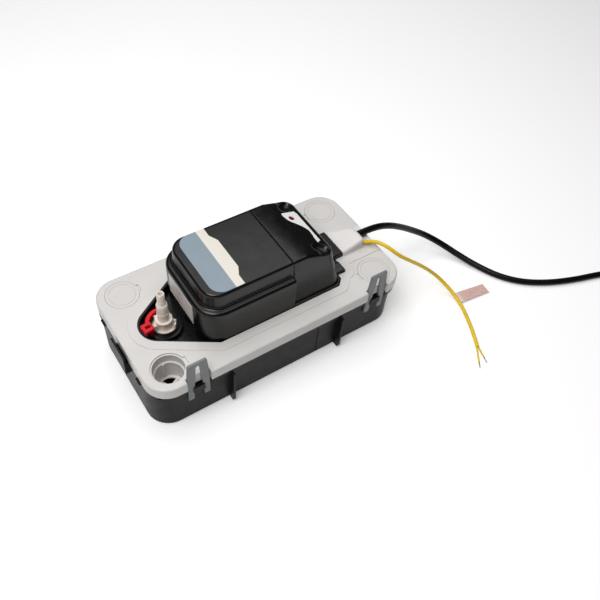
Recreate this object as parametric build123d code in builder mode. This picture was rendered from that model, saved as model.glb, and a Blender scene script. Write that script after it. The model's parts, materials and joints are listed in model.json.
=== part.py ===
"""Condensate pump: a water tank with a lid that carries a motor, pump, float switch and outlet.

The tank stands on its base at z = 0. X runs along the tank, from the outlet at -X to the cables at +X.
The two wall brackets are on the -Y side. All sizes are in millimetres.
"""
from build123d import *
import os
from math import atan2, cos, pi, radians, sin, tan

os.makedirs("parts", exist_ok=True)

# ---------------------------------------------------------------- driving dimensions
FIT = 0.3               # gap between parts that are put together by hand
RUN = 0.06              # radial gap of a running shaft
FLUSH = 0.25            # gap round a part that is snapped into another

# lid
LID_LENGTH = 280.0
LID_WIDTH = 143.0
LID_CORNER = 23.4
LID_TOP = 67.2          # height of the lid's flat top
LID_PLATE = 2.8
LID_SKIRT = 12.5        # height of the lid's edge
SKIRT_WALL = 2.2
LID_EDGE_ROUND = 1.8
PAD_HEIGHT = 0.5        # raised panel round the pump module
PAD_MARGIN = 9.0
STRIP_HALF_WIDTH = 29.0  # the panel's strip towards the cables
STRIP_MARGIN = 2.0

# inlets in the lid's four corners
INLET_END = 25.1        # an inlet's axis from the lid's end
INLET_SIDE = 23.0       # and from its side
INLET_X = LID_LENGTH / 2 - INLET_END
INLET_Y = LID_WIDTH / 2 - INLET_SIDE
INLET_RADIUS = 15.0     # the socket that a drain pipe goes into
INLET_WALL = 1.2
SEAT_RADIUS = 16.5      # the shallow seat of a blanking plug
SEAT_DEPTH = 1.4
SOCKET_DEPTH = 10.8     # where the pipe stops
SOCKET_FLOOR = LID_TOP - SOCKET_DEPTH
CUP_RADIUS = 13.2       # the narrower cup under the socket
CUP_DEPTH = 33.2
CUP_FLOOR = LID_TOP - CUP_DEPTH
CUP_WEB = 1.6
CUP_HOLE_RADIUS = 10.5
CUP_BAR = 2.6           # width of the bars across the cup's floor
KEY_RIB = 1.4
PRY_WIDTH = 9.0
PRY_DEPTH = 1.8
PLUG_SPIGOT = 5.0
PLUG_WALL = 1.5
PLUG_RING = 13.2        # fine ring groove in a plug's face
PLUG_RING_WIDTH = 0.7
PLUG_RING_DEPTH = 0.3

# tank
TANK_LENGTH = LID_LENGTH - 1.2
TANK_WIDTH = LID_WIDTH - 10.8
TANK_CORNER = LID_CORNER - 0.1
TANK_WALL = 2.5
TANK_FLOOR = 2.5
TANK_DRAFT = 0.5        # degrees
TANK_BASE_ROUND = 2.5
BAND_HEIGHT = 7.0       # the thicker band under the lid's edge
BAND_SIDE = 2.0         # how far the lid's edge stands out past the band on the long sides
BAND_END = 0.1          # and on the ends
RIB_X = 62.0            # the upright ribs on the long sides
RIB_THICK = 2.0
RIB_OUT = LID_WIDTH / 2 + 2.5   # the ribs' outer edge, from the middle
RIB_TOE = 5.0           # height of the slanted toe
RIB_TOE_BACK = 2.5      # how far the toe is cut back
RIB_STEP = 1.5
SHELF = 3.0             # depth of the ledge that carries the rim
EAR_Y = 38.0            # snap ears on the ends
EAR_WIDTH = 6.0
EAR_OUT = 2.2
EAR_FOOT = 1.0          # an ear's sloped side ends this far over the band's foot
EAR_EDGE = 2.0          # its upright edge
KEY_DEPTH = 23.2        # the key that holds each wall bracket: its foot under the lid's top
KEY_DROP = 15.2         # and its head
KEY_LOW = LID_TOP - KEY_DEPTH
KEY_HIGH = LID_TOP - KEY_DROP
KEY_LIP = 1.2
OVERFLOW_WIDTH = 4.4
OVERFLOW_HEIGHT = 9.0
OVERFLOW_ANGLE = 232.0
GROOVE_X = 37.0
GROOVE_WIDTH = 1.0

# hanger loop at the outlet end
LOOP_GAP = 3.0          # the slot between the lid's edge and the loop
LOOP_THICK = 2.0
LOOP_Y = -5.0
LOOP_WIDTH = 27.0
LOOP_SET_DOWN = 1.7
LOOP_TOP = LID_TOP - LOOP_SET_DOWN
LOOP_DROP = 24.0

# wall brackets
BRACKET_X = (-96.0, 104.0)
BRACKET_NAMES = ("left", "right")
BRACKET_FOOT = 22.0     # width across the feet
BRACKET_HEAD = 18.4     # width across the top
BRACKET_REACH = 33.7    # how far a bracket's feet hang under the lid's top
BRACKET_RISE = 20.3     # and its head stands over it
BRACKET_LOW = LID_TOP - BRACKET_REACH
BRACKET_TOP = LID_TOP + BRACKET_RISE
BRACKET_THICK = 2.2
BRACKET_GAP_LOW = 11.0  # the gap between the legs, at the feet
BRACKET_GAP_HIGH = 4.0  # and at its rounded top
BRACKET_GAP_TOP = BRACKET_TOP - 4.5
BRACKET_ROUND = 1.5

# pump module: the black tray that fills the opening in the lid
MODULE_HALF_WIDTH = 48.2
MODULE_SIDE_X = -61.0   # where the flanks meet the straight sides
MODULE_CHAMFER = 7.0
NOSE_OFFSET = 4.5       # the nose's centre is this far outside the outlet's axis
NOSE_RADIUS = 20.5
MODULE_REAR = 79.5
REAR_SHOULDER_X = 89.0
REAR_SHOULDER_Y = 36.0
REAR_TONGUE_X = 98.5
REAR_TONGUE_Y = 17.5
TRAY_DEPTH = 9.2
TRAY_FLOOR = LID_TOP - TRAY_DEPTH
TRAY_FLOOR_THICK = 2.5
TRAY_WALL = 1.6
TRAY_FLANGE = 4.0
TRAY_FLANGE_THICK = 2.0
TRAY_EAR = 4.4          # radius of the screw ears, and how far out they stand
TRAY_SCREW_X = (-40.0, 10.0, 58.0)
APRON_WALL = 1.6        # the front cover's wall inside the tray
TRAY_RIM_DROP = 0.4     # the rim stays this far below the lid's top

# covers
COVER_REACH = 75.5      # the front cover's face is this far from the middle
COVER_PARTING_X = 20.0
COVER_HALF_WIDTH = 47.6
COVER_CORNER = 24.0
COVER_WALL = 2.2
LEDGE_RISE = 38.8       # the front cover's lower tier
LEDGE_HEIGHT = LID_TOP + LEDGE_RISE
LEDGE_ROUND = 3.5
LEDGE_STEP = 6.0        # how far the upper tier is set in
COVER_RISE = 56.3       # the whole cover
COVER_TOP = LID_TOP + COVER_RISE
UPPER_DRAFT = 5.0       # degrees
TOP_ROUND = 3.0
ROOT_ROUND = 2.2
COVER_JOIN = 0.3        # the fine line between the two covers
REAR_SIDE_SET_IN = 2.0
REAR_TOP_REACH = 65.0   # the rear cover's slanted back, carried up to the cover's top
SLOPE_START_X = 35.0    # the sloped panel that carries the indicator
REAR_TOP_X = 67.0
SLOPE_DROP = 10.5
REAR_TOP_Z = COVER_TOP - SLOPE_DROP
REAR_FOOT_X = 77.2
REAR_CORNER = 10.0
REAR_CAVITY_ROOF = 20.0
REAR_CAVITY_TOP = COVER_TOP - REAR_CAVITY_ROOF
REAR_CAVITY_X = 68.0
REAR_CAVITY_Y = 39.0
FLANGE_HEIGHT = 1.8     # the rear cover's foot on the tray's rim
LUG_INNER_Y = 23.0      # blocks on the foot, each side of the cable entry
LUG_OUTER_Y = 35.4
LUG_HEIGHT = 2.0
GRIP_RADIUS = 9.0       # finger grips in the rear corners
GRIP_X = 56.0
GRIP_Y = 39.0
GRIP_RISE = 1.0
GRIP_Z = COVER_TOP + GRIP_RISE

# labels, all left bare
LABEL_THICK = 0.4
BADGE_FRONT_X = -59.8
BADGE_STEP_X = -30.3    # where the rear edge steps, near the sides
BADGE_TONGUE_X = -25.7
BADGE_TONGUE_Y = 18.5
BADGE_SHOULDER_Y = 27.5
BADGE_HALF_WIDTH = 38.3
BADGE_CORNER = 12.5
RATING_HALF_WIDTH = 23.0
RATING_LOW_RISE = 9.8   # the rating label's two edges over the lid's top
RATING_HIGH_RISE = 34.3
RATING_LOW = LID_TOP + RATING_LOW_RISE
RATING_HIGH = LID_TOP + RATING_HIGH_RISE

# outlet
OUTLET_GAP = 19.5       # from the front cover's face to the outlet's axis
OUTLET_DISC_RADIUS = 11.4
OUTLET_DISC = 3.0
OUTLET_RING_RADIUS = 8.2
OUTLET_RING_Z = TRAY_FLOOR + 12.0
OUTLET_RING = 2.4
TAIL_LARGE_RADIUS = 5.2
TAIL_LARGE_TOP = TRAY_FLOOR + 36.6
TAIL_SMALL_RADIUS = 3.0
TAIL_TIP_RADIUS = 3.6
TAIL_TIP = 4.5          # length of the tapered tip
TAIL_TIP_TAPER = 14.0   # degrees
TAIL_BEAD = 2.0         # the ring round the hose tail that a hose is pushed up to
TAIL_BEAD_RADIUS = 5.7
TAIL_BEAD_RISE = 8.0
TAIL_TOP = TRAY_FLOOR + 50.7
TAIL_BORE = 2.2
SPIGOT_RADIUS = 6.5
SPIGOT_DEPTH = 12.0     # below the tray's floor
WING_COUNT = 4
WING_START = 45.0       # degrees
WING_THICK = 1.6

# check valve under the outlet
SEAL_THICK = 1.5
VALVE_WALL = 2.7
VALVE_DEPTH = 24.0      # the housing's length below the tray's floor
VALVE_SEAT = 18.0       # the valve seat's depth below the tray's floor
VALVE_SEAT_THICK = 2.0
VALVE_SEAT_RADIUS = 4.0
VALVE_DISC_RADIUS = 5.4
VALVE_DISC = 2.0

# red locking collar round the outlet's base
COLLAR_INNER = 13.6
COLLAR_OUTER = 17.4
COLLAR_THICK = 6.0
COLLAR_ARC = 230.0      # degrees of ring
COLLAR_START = 20.0     # where the ring begins, from +X towards +Y
LEVER_END = 20.0        # the lever's outer edge, from the outlet's axis
LEVER_WIDTH = 11.0
LEVER_ANGLE = 181.0     # direction of the lever from the outlet's axis
LEVER_SLOT_START = 15.0
LEVER_SLOT_END = 18.4
LEVER_SLOT_WIDTH = 4.4
LEVER_ROUND = 1.5
COLLAR_GUIDE = 2.0      # height of the tray's guide ring inside the collar
COLLAR_LOW = TRAY_FLOOR + 4.0

# motor, shaft and pump
MOTOR_X = -28.0
SHAFT_RADIUS = 3.0
SHAFT_LOW = 14.0
SHAFT_CLEAR = 7.5       # from the shaft's end to the cover's top
SHAFT_TOP = COVER_TOP - SHAFT_CLEAR
STATOR_FRONT = -48.0    # the laminated stack's two ends
STATOR_REAR = 14.0
STATOR_WIDTH = 48.0
STATOR_LOW = TRAY_FLOOR + 16.0
STATOR_HEIGHT = 20.0
STATOR_CORNER = 3.0
ROTOR_RADIUS = 13.0
AIR_GAP = 0.35
LEG_WIDTH = 10.0        # the leg of the stack that the coil is wound on
WINDOW_LENGTH = 12.0    # the window between that leg and the rotor
WINDOW_WIDTH = 29.0
COIL_OUT = 7.5          # how far the winding stands out of the leg
COIL_GAP = 0.3
COIL_ROUND = 4.5
ROTOR_SHORT = 1.0       # the rotor ends this far inside the stack
BRIDGE_THICK = 3.0
BRIDGE_WIDTH = 16.0
BEARING_RADIUS = 5.0
BEARING_FLANGE = 7.0
BEARING_FLANGE_THICK = 1.5
FAN_RADIUS = 27.0
FAN_HUB_RADIUS = 6.0
FAN_DROP = 17.5
FAN_LOW = COVER_TOP - FAN_DROP
FAN_HEIGHT = 8.0
FAN_BLADES = 7
FAN_BLADE = 1.6
FAN_PITCH = 30.0        # degrees
POST_RADIUS = 3.5
MOTOR_POST_X = (-43.5, 9.0)
MOTOR_POST_Y = 19.0
SHAFT_HOLE_RADIUS = 8.5
COLUMN_RADIUS = 17.0
COLUMN_WALL = 2.5
COLUMN_FLANGE = 22.0
VOLUTE_RADIUS = 29.0
VOLUTE_LOW = 8.0
VOLUTE_HIGH = 25.0
VOLUTE_WALL = 2.5
VOLUTE_EYE = 10.0
NOZZLE_REACH = 39.0     # the outlet nozzle's end, from the shaft
IMPELLER_RADIUS = 20.0
IMPELLER_LOW = 12.0
IMPELLER_HEIGHT = 7.0
IMPELLER_PLATE = 1.5
IMPELLER_HUB = 6.0
IMPELLER_BLADES = 6
IMPELLER_BLADE = 1.6
STRAINER_HEIGHT = 4.0
STRAINER_SLOTS = 12
STRAINER_SLOT = 2.5
PIPE_RADIUS = 5.5
PIPE_WALL = 1.5
PIPE_BEND = 12.0

# float switch
FLOAT_X = 58.0
FLOAT_LENGTH = 44.0
FLOAT_WIDTH = 60.0
FLOAT_HEIGHT = 20.0
FLOAT_CORNER = 5.0
FLOAT_LOW = 7.0
STEM_RADIUS = 5.0
STEM_LOW = 4.0
STEM_STOP_RADIUS = 8.0  # the stop under the float
STEM_FLANGE_RADIUS = 9.0
STEM_WALL = 2.0
FLOAT_GAP = 0.5         # radial gap between the float and its stem
MAGNET_RADIUS = 10.0
MAGNET_HEIGHT = 5.0
REED_RADIUS = 1.6
REED_LENGTH = 26.0
REED_LOW = 24.0

# control board
BOARD_X = 43.0
BOARD_LENGTH = 36.0
BOARD_WIDTH = 70.0
BOARD_THICK = 1.6
BOARD_RISE = 20.0       # above the tray's floor
RELAY = (19.0, 15.5, 15.0)
RELAY_ROUND = 1.0
TERMINALS = (8.0, 30.0, 10.0)
TERMINAL_COUNT = 5
LENS_RADIUS = 2.6
LENS_LENGTH = 6.0
LENS_ALONG = 18.0       # the lens's place down the sloped panel
LENS_Y = 13.5

# screws
SCREW_RADIUS = 1.5
SCREW_HEAD_RADIUS = 3.0
SCREW_HEAD = 1.8
SCREW_SLOT = 0.7        # width of the cross in a screw's head
SCREW_BITE = 6.0        # how far a screw goes into a post
POST_INSET = 8.0        # the covers' screw posts, in from their walls

# cable gland and cables
GLAND_LENGTH = 32.2
GLAND_BASE_LENGTH = 39.0
GLAND_Y = -4.5
GLAND_WIDTH = 27.0
GLAND_HUMP_Y = -7.5
GLAND_HUMP_WIDTH = 20.0
GLAND_RISE = 13.4
GLAND_NOSE_RISE = 12.0
GLAND_TOP = LID_TOP + GLAND_RISE
GLAND_NOSE_TOP = LID_TOP + GLAND_NOSE_RISE
GLAND_BASE = 1.6
GLAND_ROUND = 3.0
ENTRY_RISE = 5.3        # the black cable entry
ENTRY_TOP = LID_TOP + ENTRY_RISE
ENTRY_ROUND = 1.0
MAINS_RADIUS = 3.6
ALARM_RADIUS = 2.0
CORE_RADIUS = 0.9
WIRE_RADIUS = 0.5
WIRE_LENGTH = 6.0
TAG_THICK = 0.5

# mains cable: from the gland to the floor, to the coil, and from the coil to the plug
MAINS_ROUTE = [
    (130, -5, 74.6), (149, -5, 74.6), (170, -4.5, 65.2), (191, -4, 51.5), (210, -4, 37), (229, -8, 23.5),
    (244, -22, 14), (255.5, -44, 7.5), (266, -67, 4.2), (278, -91, 3.6), (296, -111, 3.6), (322, -127, 3.6),
    (352, -139, 3.6), (383, -148, 3.6), (418, -161, 3.6), (445.8, -176.2, 3.6),
]
COIL_CENTRE = (424.0, -214.0)
COIL_MIDDLE = 40.0      # radius at the middle of the turns
COIL_ROWS = 2           # turns side by side
COIL_LAYERS = 2         # layers of them, under one more turn
PLUG_ROUTE = [
    (458.2, -201.6, 18), (466.4, -224.2, 18), (466.4, -242.2, 16), (459.8, -257.8, 12.5),
    (447.2, -269.2, 9), (431.9, -273.9, 6.5),
]
TIE_WIDTH = 8.0
TIE_THICK = 1.0
TIE_ANGLE = 150.0       # where the tie is, round the coil
PLUG_LENGTH = 34.0
PLUG_WIDTH = 26.0
PLUG_HEIGHT = 24.0
PLUG_NECK = 0.7         # how much narrower the body is at its cord end
PLUG_ROUND = 4.0
RELIEF_LENGTH = 24.0
RELIEF_SMALL = 5.2
RELIEF_LARGE = 7.5
BLADE_LENGTH = 17.0
BLADE_WIDTH = 6.35
BLADE_THICK = 1.5
BLADE_SPACING = 12.7
EARTH_RADIUS = 2.35
EARTH_LENGTH = 20.5
EARTH_OFFSET = 11.9

# alarm cable: from the gland over the lid's edge to two bare ends
ALARM_ROUTE = [
    (130, -14.9, 72), (140.5, -21.5, 73), (144, -35, 73), (151, -46, 66.5), (165, -50, 55), (180, -53, 42),
    (194, -57.5, 29), (206, -65, 16), (213, -81, 6), (212, -99, 2.2), (205, -118, 2), (196.8, -136, 2),
    (189, -150.5, 2),
]
CORE_ENDS = [(177.5, -166.0, 0.9), (186.5, -164.0, 0.9)]
TAG_START = (214.0, -89.5, 3.6)
TAG_END = (254.5, -94.0, 0.1)
TAG_WIDTH = 13.5

# ---------------------------------------------------------------- worked-out places
OUTLET_X = -(COVER_REACH + OUTLET_GAP)
NOSE_X = OUTLET_X - NOSE_OFFSET
LID_UNDER = LID_TOP - LID_PLATE
SKIRT_LOW = LID_TOP - LID_SKIRT
SHOULDER_Z = SKIRT_LOW - FIT
RIM_LENGTH = LID_LENGTH - 2 * (SKIRT_WALL + FIT)
RIM_WIDTH = LID_WIDTH - 2 * (SKIRT_WALL + FIT)
RIM_CORNER = LID_CORNER - SKIRT_WALL - FIT
BAND_LENGTH = LID_LENGTH - 2 * BAND_END
BAND_WIDTH = LID_WIDTH - 2 * BAND_SIDE
BRACKET_INNER_Y = -(TANK_WIDTH / 2 + SHOULDER_Z * tan(radians(TANK_DRAFT)) + FIT)
BRACKET_OUTER_Y = BRACKET_INNER_Y - BRACKET_THICK
NOTCH_WIDTH = BRACKET_FOOT + 2 * FIT + 1.6
NOTCH_Y = BRACKET_INNER_Y + FIT
TRAY_UNDER = TRAY_FLOOR - TRAY_FLOOR_THICK
TRAY_RIM = LID_TOP - TRAY_RIM_DROP
UPPER_HALF_WIDTH = COVER_HALF_WIDTH - LEDGE_STEP
TOP_HALF_WIDTH = UPPER_HALF_WIDTH - (COVER_TOP - LEDGE_HEIGHT) * tan(radians(UPPER_DRAFT))
SLOPE = atan2(COVER_TOP - REAR_TOP_Z, REAR_TOP_X - SLOPE_START_X)
SLOPE_PLANE = Plane(
    origin=(SLOPE_START_X, 0, COVER_TOP),
    x_dir=(cos(SLOPE), 0, -sin(SLOPE)),
    z_dir=(sin(SLOPE), 0, cos(SLOPE)),
)
GLAND_START = REAR_TONGUE_X + FIT
BOARD_Z = TRAY_FLOOR + BOARD_RISE
VALVE_OUTER = SPIGOT_RADIUS + FIT + VALVE_WALL
GLAND_END = GLAND_START + GLAND_LENGTH
LID_FACE = LID_TOP + PAD_HEIGHT
INLETS = {
    "open": (-INLET_X, -INLET_Y),
    "front": (-INLET_X, INLET_Y),
    "rear_left": (INLET_X, INLET_Y),
    "rear_right": (INLET_X, -INLET_Y),
}


# ---------------------------------------------------------------- helpers
def slab(length, width, corner, low, high, mode=Mode.ADD, taper=0.0):
    """A rounded rectangle centred on the Z axis, from low to high."""
    with BuildSketch(Plane.XY.offset(low)) as outline:
        RectangleRounded(length, width, corner)
    extrude(outline.sketch, amount=high - low, taper=taper, mode=mode)


def box_between(x_range, y_range, z_range, mode=Mode.ADD):
    """A plain block given by its limits along each axis."""
    with BuildSketch(Plane.XY.offset(z_range[0])) as outline:
        with Locations(((x_range[0] + x_range[1]) / 2, (y_range[0] + y_range[1]) / 2)):
            Rectangle(x_range[1] - x_range[0], y_range[1] - y_range[0])
    extrude(outline.sketch, amount=z_range[1] - z_range[0], mode=mode)


def disc(centre, radius, low, high, inner=0.0, mode=Mode.ADD):
    """An upright cylinder or, with an inner radius, a ring."""
    with BuildSketch(Plane.XY.offset(low)) as outline:
        with Locations(centre):
            Circle(radius)
            if inner > 0:
                Circle(inner, mode=Mode.SUBTRACT)
    extrude(outline.sketch, amount=high - low, mode=mode)


def module_outline(grow, height):
    """The pump module's outline: a rounded nose, slanted flanks, straight sides and a stepped rear."""
    with BuildSketch(Plane.XY.offset(height)) as outline:
        with BuildLine():
            Polyline(
                (MODULE_SIDE_X, MODULE_HALF_WIDTH),
                (MODULE_REAR - MODULE_CHAMFER, MODULE_HALF_WIDTH),
                (MODULE_REAR, MODULE_HALF_WIDTH - MODULE_CHAMFER),
                (MODULE_REAR, MODULE_CHAMFER - MODULE_HALF_WIDTH),
                (MODULE_REAR - MODULE_CHAMFER, -MODULE_HALF_WIDTH),
                (MODULE_SIDE_X, -MODULE_HALF_WIDTH),
                close=True,
            )
        make_face()
        with Locations((NOSE_X, 0)):
            Circle(NOSE_RADIUS)
        make_hull()
        for reach, half_width in ((REAR_SHOULDER_X, REAR_SHOULDER_Y), (REAR_TONGUE_X, REAR_TONGUE_Y)):
            with Locations((reach / 2, 0)):
                Rectangle(reach, 2 * half_width)
        if grow:
            offset(amount=grow, kind=Kind.INTERSECTION if grow < 0 else Kind.ARC)
    return outline.sketch


def corner_radii(points):
    """The largest even arcs that a cable's route leaves room for, one for each corner."""
    radii = []
    for before, corner, after in zip(points, points[1:], points[2:]):
        run_in = Vector(*corner) - Vector(*before)
        run_out = Vector(*after) - Vector(*corner)
        turn = radians(run_in.get_angle(run_out))
        radii.append(0.45 * min(run_in.length, run_out.length) / tan(turn / 2))
    return radii


def cable(points, radius, name):
    """A round cable along its route; prints its length and its bends, to be read against its thickness."""
    radii = corner_radii(points)
    with BuildPart() as tube:
        with BuildLine() as route:
            FilletPolyline(*points, radius=radii)
        path = route.wires()[0]
        with BuildSketch(Plane(origin=path @ 0, z_dir=path % 0)):
            Circle(radius)
        sweep(path=path)
    section = pi * radius ** 2 * path.length
    print(f"{name}: length {path.length:.1f}, volume {tube.part.volume:.0f} of {section:.0f},",
          "radii", [round(r) for r in radii])
    return tube.part


def save(part, name):
    """Label a finished piece and write it."""
    part.label = name
    export_step(part, f"parts/{name}.step")


# ---------------------------------------------------------------- tank
def bracket_gap(height):
    """Half the width of the gap between a wall bracket's legs at a height."""
    arch = BRACKET_GAP_TOP - BRACKET_GAP_HIGH / 2
    share = (height - BRACKET_LOW) / (arch - BRACKET_LOW)
    return (BRACKET_GAP_LOW + share * (BRACKET_GAP_HIGH - BRACKET_GAP_LOW)) / 2


def key_block(x, grow, y_from, y_to):
    """A wedge on the tank wall that fills the gap between a bracket's legs, less or plus a margin."""
    with BuildSketch(Plane.XZ.offset(-y_from)) as face:
        with BuildLine():
            low, high = bracket_gap(KEY_LOW) + grow, bracket_gap(KEY_HIGH) + grow
            Polyline((x - low, KEY_LOW), (x + low, KEY_LOW), (x + high, KEY_HIGH), (x - high, KEY_HIGH),
                     close=True)
        make_face()
    extrude(face.sketch, amount=y_from - y_to)


with BuildPart() as tank:
    slab(TANK_LENGTH, TANK_WIDTH, TANK_CORNER, 0, SHOULDER_Z, taper=-TANK_DRAFT)
    fillet(tank.edges().group_by(Axis.Z)[0], TANK_BASE_ROUND)
    slab(BAND_LENGTH, BAND_WIDTH, LID_CORNER - BAND_SIDE, SHOULDER_Z - BAND_HEIGHT, SHOULDER_Z)
    slab(RIM_LENGTH, RIM_WIDTH, RIM_CORNER, SHOULDER_Z, LID_UNDER)
    # upright ribs on the long sides, cut back under the lid's edge
    for x in (-RIB_X, RIB_X):
        for side in (-1, 1):
            with BuildSketch(Plane.YZ.offset(x - RIB_THICK / 2)) as rib:
                with BuildLine():
                    Polyline(
                        (side * (TANK_WIDTH / 2 - TANK_WALL / 2), 0),
                        (side * (RIB_OUT - RIB_TOE_BACK), 0),
                        (side * RIB_OUT, RIB_TOE),
                        (side * RIB_OUT, SHOULDER_Z - BAND_HEIGHT),
                        (side * (BAND_WIDTH / 2 + RIB_STEP), SHOULDER_Z - BAND_HEIGHT + RIB_STEP),
                        (side * (BAND_WIDTH / 2 + RIB_STEP), SHOULDER_Z),
                        (side * (TANK_WIDTH / 2 - TANK_WALL / 2), SHOULDER_Z),
                        close=True,
                    )
                make_face()
            extrude(rib.sketch, amount=RIB_THICK)
    # hanger loop: an upright strap that stands off the outlet end
    strap_x = -(LID_LENGTH / 2 + LOOP_GAP)
    loop_y = (LOOP_Y - LOOP_WIDTH / 2, LOOP_Y + LOOP_WIDTH / 2)
    wall_x = -(TANK_LENGTH / 2 - TANK_WALL / 2)
    box_between((strap_x - LOOP_THICK, strap_x), loop_y, (LOOP_TOP - LOOP_DROP, LOOP_TOP))
    box_between((strap_x, wall_x), loop_y, (LOOP_TOP - LOOP_DROP, LOOP_TOP - LOOP_DROP + LOOP_THICK))
    for y in (loop_y[0], loop_y[1] - LOOP_THICK):
        box_between((strap_x, wall_x), (y, y + LOOP_THICK), (LOOP_TOP - LOOP_DROP, SHOULDER_Z))
    # snap ears on the two ends
    for end in (-1, 1):
        for side in (-1, 1):
            with BuildSketch(Plane.XZ.offset(-side * EAR_Y - EAR_WIDTH / 2)) as ear:
                with BuildLine():
                    Polyline(
                        (end * (BAND_LENGTH / 2 - TANK_WALL), SHOULDER_Z - BAND_HEIGHT + EAR_FOOT),
                        (end * (BAND_LENGTH / 2), SHOULDER_Z - BAND_HEIGHT + EAR_FOOT),
                        (end * (BAND_LENGTH / 2 + EAR_OUT), SHOULDER_Z - EAR_EDGE),
                        (end * (BAND_LENGTH / 2 + EAR_OUT), SHOULDER_Z),
                        (end * (BAND_LENGTH / 2 - TANK_WALL), SHOULDER_Z),
                        close=True,
                    )
                make_face()
            extrude(ear.sketch, amount=EAR_WIDTH)
    # reservoir
    slab(TANK_LENGTH - 2 * TANK_WALL, TANK_WIDTH - 2 * TANK_WALL, TANK_CORNER - TANK_WALL,
         TANK_FLOOR, SHOULDER_Z - SHELF, mode=Mode.SUBTRACT, taper=-TANK_DRAFT)
    slab(RIM_LENGTH - 2 * TANK_WALL, TANK_WIDTH - 2 * TANK_WALL, RIM_CORNER - TANK_WALL,
         SHOULDER_Z - SHELF, SHOULDER_Z, mode=Mode.SUBTRACT)
    slab(RIM_LENGTH - 2 * TANK_WALL, RIM_WIDTH - 2 * TANK_WALL, RIM_CORNER - TANK_WALL,
         SHOULDER_Z, LID_UNDER, mode=Mode.SUBTRACT)
    # guides for the wall brackets
    for x in BRACKET_X:
        half = NOTCH_WIDTH / 2
        box_between((x - half, x + half), (-LID_WIDTH / 2, NOTCH_Y),
                    (SHOULDER_Z - BAND_HEIGHT, SHOULDER_Z), mode=Mode.SUBTRACT)
        margin = half + SKIRT_WALL + FIT
        box_between((x - margin, x + margin), (-LID_WIDTH / 2, NOTCH_Y + SKIRT_WALL + FIT),
                    (SHOULDER_Z, LID_UNDER), mode=Mode.SUBTRACT)
        key_block(x, -FIT, NOTCH_Y + TANK_WALL / 2, BRACKET_OUTER_Y - FIT)
        key_block(x, KEY_LIP, BRACKET_OUTER_Y - FIT, BRACKET_OUTER_Y - FIT - KEY_LIP)
    # overflow port in the corner beside the open inlet
    with BuildSketch(Plane.XY.offset(SHOULDER_Z - OVERFLOW_HEIGHT)) as overflow:
        with Locations((-(TANK_LENGTH / 2 - TANK_CORNER), -(TANK_WIDTH / 2 - TANK_CORNER))):
            with Locations(Rotation(0, 0, OVERFLOW_ANGLE)):
                with Locations((TANK_CORNER, 0)):
                    Rectangle(TANK_CORNER / 2, OVERFLOW_WIDTH)
    extrude(overflow.sketch, amount=OVERFLOW_HEIGHT, mode=Mode.SUBTRACT)
    # fine groove up the bracket side
    box_between((GROOVE_X, GROOVE_X + GROOVE_WIDTH), (-TANK_WIDTH, -TANK_WIDTH / 2 + GROOVE_WIDTH / 2),
                (0, SHOULDER_Z - BAND_HEIGHT), mode=Mode.SUBTRACT)
save(tank.part, "tank")

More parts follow.
